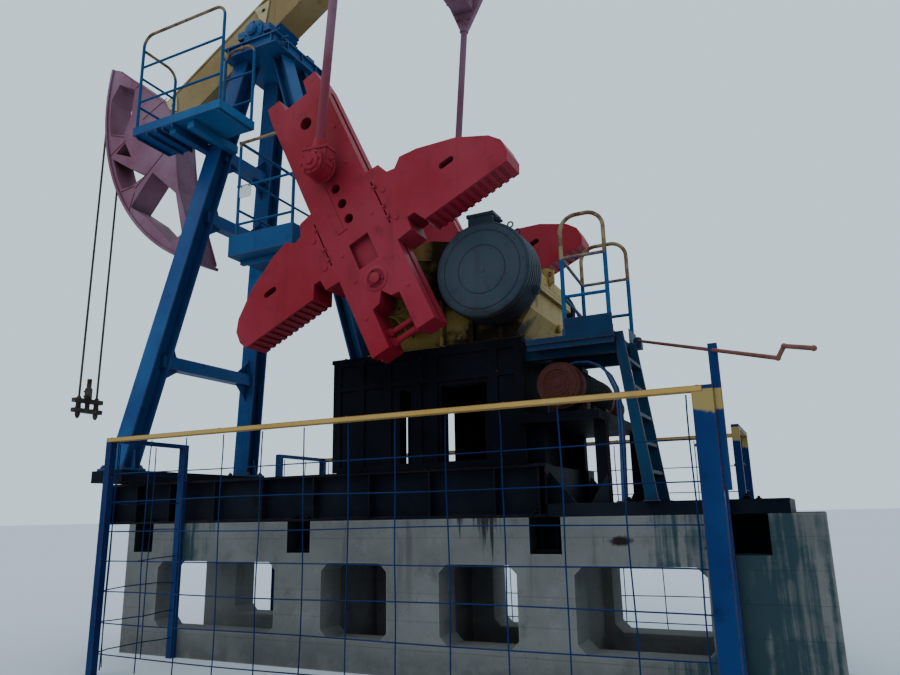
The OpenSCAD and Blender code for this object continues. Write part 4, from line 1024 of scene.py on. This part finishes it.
def dress_sheave():
    """Hub, spokes and bolts of the large sheave on the drive motor's shaft."""
    hub_y, web_y = 0.925, 0.921
    wheel = Shape()
    wheel.turned((MOTOR.x, hub_y, MOTOR.z), FAR,
                 [(-0.02, 0.090), (0.028, 0.086), (0.034, 0.070), (0.034, 0.034), (0.050, 0.030)], 32)
    centre = Vector((MOTOR.x, web_y, MOTOR.z))
    for i in range(5):
        way = spoke(20 + 72 * i)
        square = way.cross(FAR)
        a, b = centre + way * 0.07, centre + way * 0.262
        wheel.plate([a - square * 0.045, a + square * 0.045, b + square * 0.030, b - square * 0.030],
                    (0, 0.026, 0))
    wheel.bolts(circle((MOTOR.x, hub_y + 0.030, MOTOR.z), FAR, 0.052, 4), FAR, 0.020, False)
    piece("sheave_hub", wheel, "black", "base", bevel=0.002)


def dress_belt_motor():
    """Ribs, fan grille, end shields, eye and foot bolts of the belt motor."""
    x, z = BELT_MOTOR_X, BELT_MOTOR_Z
    ribs = Shape()
    for i in range(18):
        ribs.turned((x, -0.775 + i * 0.051, z), FAR,
                    [(-0.008, 0.178), (-0.006, 0.197), (0.006, 0.197), (0.008, 0.178)], 40)
    ribs.block((x - 0.09, -0.50, z + 0.15), (x + 0.09, -0.30, z + 0.215))
    piece("belt_motor_ribs", ribs, "black", "base")
    ends = Shape()
    ends.turned((x, -0.958, z), NEAR, [(0, 0.165), (0.012, 0.160), (0.018, 0.135), (0.020, 0.060)], 40)
    for radius in (0.070, 0.098, 0.126):
        ends.tube(circle((x, -0.979, z), NEAR, radius, 40), 0.0045, 6, closed=True)
    ends.turned((x, -0.972, z), NEAR, [(0, 0.040), (0.010, 0.038), (0.014, 0.026)], 20)
    for turn in (45, 135, 225, 315):
        ends.bolt(Vector((x, -0.967, z)) + spoke(turn) * 0.150, NEAR, 0.020, False)
    ends.turned((x, 0.198, z), FAR, [(0, 0.160), (0.020, 0.150), (0.060, 0.080), (0.064, 0.045)], 36)
    ends.tube(circle((x, -0.25, z + 0.228), FAR, 0.028, 16), 0.009, 8, closed=True)
    piece("belt_motor_ends", ends, "rusty", "base")
    feet = Shape()
    for y in (-0.65, 0.0):
        for side in (-1, 1):
            for dy in (-0.035, 0.035):
                feet.bolt((x + side * 0.150, y + dy, z - 0.118), UP, 0.026)
    for y in (-0.84, 0.64):
        for dx in (-0.33, 0.27):
            feet.bolt((x + dx, y, z - 0.225), UP, 0.034)
    piece("belt_motor_foot_bolts", feet, "black", "base")


def dress_belt_guard():
    """Arched guard behind the belt motor: its sheet, rolled edges, foot plate and stay."""
    near_y, far_y, sheet = -0.745, -0.585, 0.008
    line = [(1.500, 2.500), (1.560, 2.575), (1.640, 2.628), (1.740, 2.652), (1.850, 2.648), (1.940, 2.610),
            (2.010, 2.535), (2.058, 2.420), (2.078, 2.280), (2.082, 2.100), (2.080, 1.900), (2.072, 1.700),
            (2.066, REAR_FRAME_TOP + 0.001)]
    thickness = [(0.2 * sheet, sheet)] * 6 + [(sheet, 0.4 * sheet)] * 7
    guard = Shape()
    guard.rings([[(x, near_y, z), (x, far_y, z), (x - dx, far_y, z - dz), (x - dx, near_y, z - dz)]
                 for (x, z), (dx, dz) in zip(line, thickness)])
    for y in (near_y, far_y):
        guard.tube([(x, y, z) for x, z in line], 0.010, 6)
    guard.block((2.020, near_y - 0.020, REAR_FRAME_TOP), (2.098, far_y + 0.020, REAR_FRAME_TOP + 0.010))
    middle_y = (near_y + far_y) / 2
    guard.tube([(1.500, middle_y, 2.500), (1.470, middle_y, 2.400), (1.452, middle_y, 2.214)], 0.014, 8)
    piece("belt_motor_guard", guard, "blue", "base", smooth=40.0)


# Tower


def leg_line(z):
    """Middle of the near front leg at a height: its X, and its distance from the middle plane."""
    point = LEG_FOOT.lerp(LEG_TOP, (z - LEG_FOOT.z) / (LEG_TOP.z - LEG_FOOT.z))
    return point.x, point.y


def dress_leg_feet(steel, bolts, side):
    """Foot plates, gussets and anchor bolts under a front leg and a rear leg."""
    seat = LEG_FOOT.z + 0.027
    steel.block((-3.660, side * 0.84, LEG_FOOT.z - 0.001), (-3.270, side * 1.17, seat))
    for x in (-3.615, -3.315):
        for y in (0.88, 1.13):
            bolts.bolt((x, side * y, seat), UP, 0.050)
    y, tip_y = side * LEG_FOOT.y, side * (LEG_FOOT.y - 0.020)
    for x, way in ((-3.575, -1), (-3.330, 1)):
        steel.plate([(x, y, seat), (x + way * 0.065, y, seat), (x + 0.020, tip_y, 2.16),
                     (x + 0.004, tip_y, 2.16)], (0, 0.016, 0))
    seat = STAND_TOP + 0.022
    steel.block((-0.775, side * 0.345, STAND_TOP - 0.001), (-0.458, side * 0.635, seat))
    for x in (-0.745, -0.490):
        for y in (0.375, 0.605):
            bolts.bolt((x, side * y, seat), UP, 0.042)


def dress_leg_gussets(steel, side):
    """Gussets above and below each level where struts meet a front leg."""
    for level in (3.200, 5.050, 5.900):
        x, y = leg_line(level)
        for way in (-1, 1):
            root = level + way * 0.074
            tip_x, tip_y = leg_line(root + way * 0.200)
            steel.plate([(x, side * (leg_line(root)[1] - 0.125), root), (x, side * (y - 0.330), root),
                         (x, side * (y - 0.290), root + way * 0.030),
                         (tip_x, side * (tip_y - 0.150), root + way * 0.150),
                         (tip_x, side * (tip_y - 0.128), root + way * 0.200)], (0.018, 0, 0))


def dress_head_side(steel, side):
    """Ribs and lips along one side of the tower head."""
    inner, outer = side * 0.518, side * 0.548
    low, high = TOWER_HEAD_Z
    for x in (-2.700, -2.480, -2.000):
        steel.plate([(x, inner, high), (x, outer, high), (x, outer, low), (x, inner, low)], (0.020, 0, 0))
    front, rear = TOWER_HEAD_X
    for z in (low - 0.001, high - 0.022):
        steel.block((front - 0.002, side * 0.515, z), (rear + 0.002, side * 0.556, z + 0.022))


def dress_bearing(steel, bolts, side):
    """Cap flanges, gussets, cover, grease point, bolts and tie studs of one saddle bearing."""
    out = Vector((0, side, 0))
    base = TOWER_HEAD_Z[1]
    for x, way in ((-2.510, -1), (-2.190, 1)):
        for z in (PIVOT.z - 0.050, PIVOT.z + 0.002):
            steel.block((x, side * 0.325, z), (x + way * 0.105, side * 0.475, z + 0.048))
        for y in (0.365, 0.435):
            bolts.bolt((x + way * 0.060, side * y, PIVOT.z + 0.050), UP, 0.042)
            bolts.bolt((x + way * 0.150, side * y, base), UP, 0.042)
        y = side * 0.40
        steel.plate([(x, y, base), (x + way * 0.19, y, base), (x + way * 0.02, y, base + 0.125),
                     (x, y, base + 0.125)], (0, 0.022, 0))
    steel.turned((PIVOT.x, side * 0.470, PIVOT.z), out, [(-0.004, 0.152), (0.022, 0.150), (0.028, 0.140)], 40)
    bolts.bolts(circle((PIVOT.x, side * 0.494, PIVOT.z), out, 0.122, 6, 0.4), out, 0.024, False)
    bolts.turned((PIVOT.x, side * 0.536, PIVOT.z), out, [(-0.01, 0.062), (0.012, 0.060), (0.016, 0.05)], 28)
    steel.turned((PIVOT.x, side * 0.400, PIVOT.z + 0.155), UP,
                 [(-0.01, 0.018), (0.02, 0.016), (0.03, 0.008)], 12)
    for z in (TOWER_HEAD_Z[0] + 0.030, base - 0.050):
        stud = (TOWER_HEAD_X[1], side * 0.430, z)
        bolts.turned(stud, REAR, [(-0.02, 0.015), (0.135, 0.015), (0.14, 0.010)], 10)
        bolts.turned(stud, REAR, [(0.045, 0.030), (0.072, 0.030)], 6)


def dress_head_ends(steel):
    """Lips and ribs across both ends of the tower head."""
    low, high = TOWER_HEAD_Z[0] - 0.001, TOWER_HEAD_Z[1] - 0.022
    for x, way in zip(TOWER_HEAD_X, (-1, 1)):
        for z in (low, high):
            steel.block((x, -0.556, z), (x + way * 0.036, 0.556, z + 0.022))
        edge = x + way * 0.034
        for y in (-0.30, 0.0, 0.30):
            steel.plate([(x, y, low + 0.022), (edge, y, low + 0.022), (edge, y, high), (x, y, high)],
                        (0, 0.016, 0))


def dress_tower():
    """Plates and bolts of the tower, from its feet to its head."""
    steel = Shape()
    bolts = Shape()
    for side in (-1, 1):
        dress_leg_feet(steel, bolts, side)
        dress_leg_gussets(steel, side)
        dress_head_side(steel, side)
        dress_bearing(steel, bolts, side)
    dress_head_ends(steel)
    piece("tower_plates", steel, "blue", "base", bevel=0.002)
    piece("tower_bolts", bolts, "blue", "base")


# Platforms


def dress_floors():
    """Slats, joists and brackets of the upper and lower platforms."""
    steel = Shape()
    top = UPPER_FLOOR
    for i in range(17):
        x = -3.50 + i * 0.08
        steel.block((x, -1.178, top), (x + 0.030, -0.607, top + 0.008))
    joist = ((-0.085, -0.007), (-0.085, -0.058), (-0.070, -0.058), (-0.070, -0.022),
             (0.070, -0.022), (0.070, -0.058), (0.085, -0.058), (0.085, -0.007))
    for x in (-3.24, -2.98):
        steel.rings([[(x + a, y, top + b) for a, b in joist] for y in (-1.185, -0.600)])
    for x in (-3.52, -2.19):
        steel.plate([(x, -1.180, top - 0.008), (x, -0.610, top - 0.008), (x, -0.640, top - 0.043),
                     (x, -1.150, top - 0.043)], (0.012, 0, 0))
    top = LOWER_FLOOR
    for i in range(10):
        x = -2.20 + i * 0.085
        steel.block((x, -0.808, top), (x + 0.030, 0.808, top + 0.008))
    for y in (-0.60, -0.20, 0.20, 0.60):
        steel.block((-2.235, y - 0.03, top - 0.050), (-1.345, y + 0.03, top - 0.007))
    for y in (-0.33, 0.33):
        steel.plate([(-1.330, y, top + 0.092), (-1.075, y, top + 0.092), (-1.330, y, top - 0.003)],
                    (0, 0.014, 0))
    piece("platform_floors", steel, "light_blue", "base", bevel=0.001)


def dress_service_floor():
    """Slats, joists, brackets and post feet of the service platform."""
    top = SERVICE_FLOOR
    bracket = ((2.121, 0.002), (2.121, 0.230), (2.170, 0.310), (2.235, 0.430), (2.190, 0.080), (2.165, 0.002))
    steel = Shape()
    for i in range(9):
        x = 1.36 + i * 0.084
        steel.block((x, -0.870, top), (x + 0.028, 0.050, top + 0.006))
    for y in (-0.842, -0.49, 0.02):
        steel.block((1.345, y - 0.018, top - 0.100), (2.115, y + 0.018, top - 0.049))
    for y in (-0.785, -0.275):
        steel.plate([(x, y, top - drop) for x, drop in bracket], (0, 0.034, 0))
    for y in (-0.815, -0.245):
        steel.block((2.250, y - 0.045, REAR_FRAME_TOP), (2.372, y + 0.045, REAR_FRAME_TOP + 0.010))
    piece("service_floor", steel, "blue_in_painted_shade", "base", bevel=0.001)


def dress_rail_sockets():
    """Sockets at the feet of the handrail posts, and the ends of the near rails at the well side."""
    posts = [(x, y, UPPER_FLOOR) for y in (-1.16, -0.625) for x in (-3.53, -2.18)]
    posts += [(x, y, LOWER_FLOOR) for y in (-LOWER_RAIL_Y, LOWER_RAIL_Y) for x in LOWER_RAIL_X]
    posts += [(x, y, SERVICE_FLOOR) for x, y in ((1.70, -0.85), (2.091, -0.85), (1.64, 0.03), (2.091, 0.03))]
    sockets = Shape()
    for post in posts:
        sockets.turned(post, UP, [(-0.002, 0.027), (0.055, 0.027), (0.058, 0.021)], 14)
    for z in (4.70, 5.17, LOWER_RAIL_TOP):
        sockets.turned((LOWER_RAIL_X[0], -LOWER_RAIL_Y, z), NEAR, [(-0.022, 0.014), (0.024, 0.014)], 8)
    piece("rail_sockets", sockets, "light_blue", "base")


def dress_lower_rails():
    """Posts, side rails, well-side rails and top rail of the lower platform."""
    x0, x1 = LOWER_RAIL_X
    y1, top = LOWER_RAIL_Y, LOWER_RAIL_TOP
    thick, thin = 0.019, 0.015
    rails = Shape()
    for y in (-y1, y1):
        for x in (x0, x1):
            rails.tube([(x, y, LOWER_FLOOR), (x, y, top)], thick, 12)
        for z in (4.700, 5.170):
            rails.tube([(x0, y, z), (x1, y, z)], thin, 12)
        rails.tube([(x0 - thick, y, top), (x1 + thick, y, top)], thick, 12)
    for z, radius in ((4.880, thin), (5.310, thin), (top, thick)):
        rails.tube([(x0, -y1, z), (x0, y1, z)], radius, 12)
    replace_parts(piece("lower_rail_tubes", rails, "lower_rail", "base"), "lower_handrail")


def hang_blank_sign():
    """Blank plate with rounded corners, clipped to the near rail of the lower platform."""
    x, y, z = -2.048, -0.808, 5.090
    corner = [(0.070, 0.076), (0.080, 0.066), (0.084, 0.052)]
    half = corner + [(a, -b) for a, b in reversed(corner)]
    sign = Shape()
    sign.plate([(x + a, y, z + b) for a, b in half + [(-a, -b) for a, b in half]], (0, 0.004, 0))
    piece("blank_sign", sign, "plate", "base", bevel=0.001)
    clips = Shape()
    for dx in (-0.057, 0.057):
        clips.turned((x + dx, y - 0.002, z + 0.062), NEAR, [(-0.010, 0.009), (0.005, 0.009)], 8)
    piece("sign_clips", clips, "dark_steel", "base")


# Skid, stand and foundation

ANCHOR_X = (-3.29, -1.16, 1.40)


def dress_skid():
    """Web stiffeners of the skid, stand ribs and lips, sill plates, anchor bolts and dark sheets of painted
    shade in the notches.
    """
    steel = Shape()
    stand = Shape()
    bolts = Shape()
    low, high = SKID_Z + 0.024, SKID_TOP - 0.024
    stand_foot = SKID_TOP + 0.002
    for side in (-1, 1):
        for x in (-3.90, -3.46, -2.95, -2.30, -1.65, -1.00, -0.35, 0.30, 0.95, 1.36):
            steel.block((x - 0.009, side * (SKID_Y + 0.0125), low),
                        (x + 0.009, side * (SKID_Y + 0.104), high))
        for z in (low + 0.003, high - 0.003):
            steel.tube([(x, side * (SKID_Y + 0.017), z) for x in (-3.935, 1.415)], 0.008, 6)
        for x in (-0.715, -0.44, -0.13, 0.20, 0.37, 0.98, 1.235):
            stand.block((x - 0.045, side * STAND_Y, stand_foot),
                        (x + 0.045, side * (STAND_Y + 0.018), STAND_TOP - 0.045))
        for z in (stand_foot, 2.60, 2.850):
            stand.block((-0.720, side * (STAND_Y - 0.01), z), (1.250, side * (STAND_Y + 0.019), z + 0.045))
        for x in ANCHOR_X:
            for dx in (-0.07, 0.07):
                bolts.turned((x + dx, side * 0.655, 1.06), UP, [(0, 0.018), (0.29, 0.018)], 10)
                bolts.bolt((x + dx, side * 0.735, SKID_Z + 0.025), UP, 0.052)
            bolts.block((x - 0.11, side * 0.655 - 0.06, 1.052), (x + 0.11, side * 0.655 + 0.06, 1.080))
        # Dark sheets at the backs of the foundation notches: painted shade
        for x in (*ANCHOR_X, 3.00):
            bolts.block((x - 0.139, side * 0.560, 1.052), (x + 0.139, side * 0.572, SKID_Z - 0.002))
        for x in (2.10, 3.00):
            bolts.bolt((x, side * SKID_Y, REAR_FRAME_TOP), UP, 0.050)
        steel.block((1.421, side * 0.560, SKID_Z), (1.433, side * 0.780, SKID_TOP - 0.008))
        steel.plate([(1.425, side * SKID_Y, REAR_FRAME_TOP), (1.425, side * SKID_Y, 1.74),
                     (1.66, side * SKID_Y, REAR_FRAME_TOP)], (0, 0.016, 0))
        for x in (-3.66, -3.26):
            steel.block((x - 0.008, -1.195, SKID_TOP + 0.002), (x + 0.008, 1.195, LEG_FOOT.z - 0.004))
    for y in (-0.72, 0.62):
        foot = REAR_FRAME_TOP + 0.002
        steel.plate([(1.955, y, foot), (1.955, y, 1.70), (1.800, y, foot)], (0, 0.012, 0))
    piece("skid_stiffeners", steel, "black", "base", bevel=0.002)
    piece("stand_ribs", stand, "black_in_painted_shade", "base", bevel=0.002)
    piece("anchor_bolts_and_shade_sheets", bolts, "black_in_painted_shade", "base")


# Fence


def bend_fence_wires():
    """Bent wire panels of the fence sides and of both ends, each end with a gap in its middle."""
    x0, x1 = FENCE_X[0] + 0.035, FENCE_X[1] - 0.035
    for word, y, seed in (("near", -FENCE_Y, 3), ("far", FENCE_Y, 8)):
        shape = mesh_panel((x0, y, 0), REAR, x1 - x0, seed)
        wires = piece(word + "_fence_wires", shape, "wire_blue", "base")
        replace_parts(wires, word + "_fence_mesh")
    ends = Shape()
    for x, seed in zip(FENCE_X, (12, 15)):
        for y in (-FENCE_Y + 0.035, 0.850):
            panel = mesh_panel((x, y, 0), FAR, 0.875, seed)
            ends.add(panel.points, panel.faces)
            seed += 1
    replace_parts(piece("end_fence_wires", ends, "wire_blue", "base"), "end_fence_mesh")


def dress_fence_posts():
    """Feet of the corner posts, clamp screws of all posts and bolts of the top rails."""
    posts = Shape()
    for x in FENCE_X:
        inward = REAR if x < 0 else FRONT
        for y in (-FENCE_Y, -0.815, 0.815, FENCE_Y):
            if abs(y) == FENCE_Y:
                posts.block((x - 0.060, y - 0.034, 0.0), (x + 0.060, y + 0.034, 0.012))
            for z in (0.50, 1.15, 1.80):
                posts.turned((x + inward.x * 0.034, y, z), inward,
                             [(0, 0.012), (0.012, 0.011), (0.014, 0.007)], 8)
    piece("fence_post_details", posts, "post_blue", "base")
    rail = Shape()
    for y in (-FENCE_Y, FENCE_Y):
        for x in (-2.73, -1.33, 0.06, 1.46, 2.85):
            rail.turned((x, y, FENCE_H + 0.040), UP, [(-0.002, 0.014), (0.006, 0.013), (0.008, 0.009)], 10)
    piece("fence_rail_bolts", rail, "rail_yellow", "base")


# The whole machine

PAINTED = {
    "concrete": ["near_foundation_wall", "far_foundation_wall", "foundation_cross_walls"],
    "black": ["near_skid_beam", "far_skid_beam", "skid_crossmembers", "rear_skid_frame", "tower_sill",
              "input_sheave"],
    "black_in_painted_shade": ["gearbox_stand", "belt_motor_frame"],
    "red": ["crankshaft", "near_crank", "far_crank", "near_upper_weight", "near_lower_weight",
            "far_upper_weight", "far_lower_weight", "near_wrist_bearing", "far_wrist_bearing"],
    "faded_red": ["horse_head", "equalizer"],
    "pitman_red": ["near_pitman", "far_pitman"],
    "ochre": ["walking_beam", "tail_bearing"],
    "gear_yellow": ["gearbox_case", "gearbox_cover"],
    "rail_yellow": ["fence_rails"],
    "blue": ["near_front_leg", "far_front_leg", "rear_legs", "tower_struts", "tower_head",
             "near_fence_mesh", "far_fence_mesh", "end_fence_mesh", "saddle_shaft"],
    "post_blue": ["fence_posts"],
    "light_blue": ["upper_platform"],
    "mid_blue": ["lower_platform"],
    "blue_in_painted_shade": ["service_platform", "service_ladder"],
    "upper_rail": ["upper_handrail"],
    "lower_rail": ["lower_handrail"],
    "service_rail": ["service_handrail"],
    "slate": ["drive_motor"],
    "rusty": ["belt_motor"],
    "belt": ["drive_belt"],
    "rope": ["bridle_top", "bridle_cables"],
    "dark_steel": ["carrier_bar"],
    "rod_red": ["brake_rod"],
}


def paint_solids():
    """Gives every node of the solids its finish."""
    for finish, names in PAINTED.items():
        for name in names:
            slots = nodes[name].data.materials
            slots.clear()
            slots.append(finishes[finish])


def dress_machine():
    """Adds the scene's own pieces, from the cranks to the fence."""
    for side, word in ((-1, "near"), (1, "far")):
        dress_crank(side, word)
        dress_weight(side, 1, word + "_upper")
        dress_weight(side, -1, word + "_lower")
        dress_wrist(side, word)
    dress_equalizer()
    weld_beam()
    bolt_beam()
    seat_beam()
    dress_head()
    dress_carrier()
    bolt_gearbox()
    rib_gearbox()
    turn_motor_body()
    fit_drive_motor()
    dress_sheave()
    dress_belt_motor()
    dress_belt_guard()
    dress_tower()
    dress_floors()
    dress_service_floor()
    dress_rail_sockets()
    dress_lower_rails()
    hang_blank_sign()
    dress_skid()
    bend_fence_wires()
    dress_fence_posts()


def lay_floor():
    """Wide pale floor under the machine."""
    floor = bpy.data.objects.new("floor", bpy.data.meshes.new("floor"))
    corners = [(-400, -400, 0), (400, -400, 0), (400, 400, 0), (-400, 400, 0)]
    floor.data.from_pydata(corners, [], [(0, 1, 2, 3)])
    pale = Finish("pale_floor")
    tone = pale.mix(pale.noise(0.05, 4.0), (0.56, 0.59, 0.63), (0.62, 0.65, 0.69))
    floor.data.materials.append(pale.done(tone, 0.85))
    bpy.context.scene.collection.objects.link(floor)


place_camera()
light_studio()
paint_solids()
dress_machine()
lay_floor()
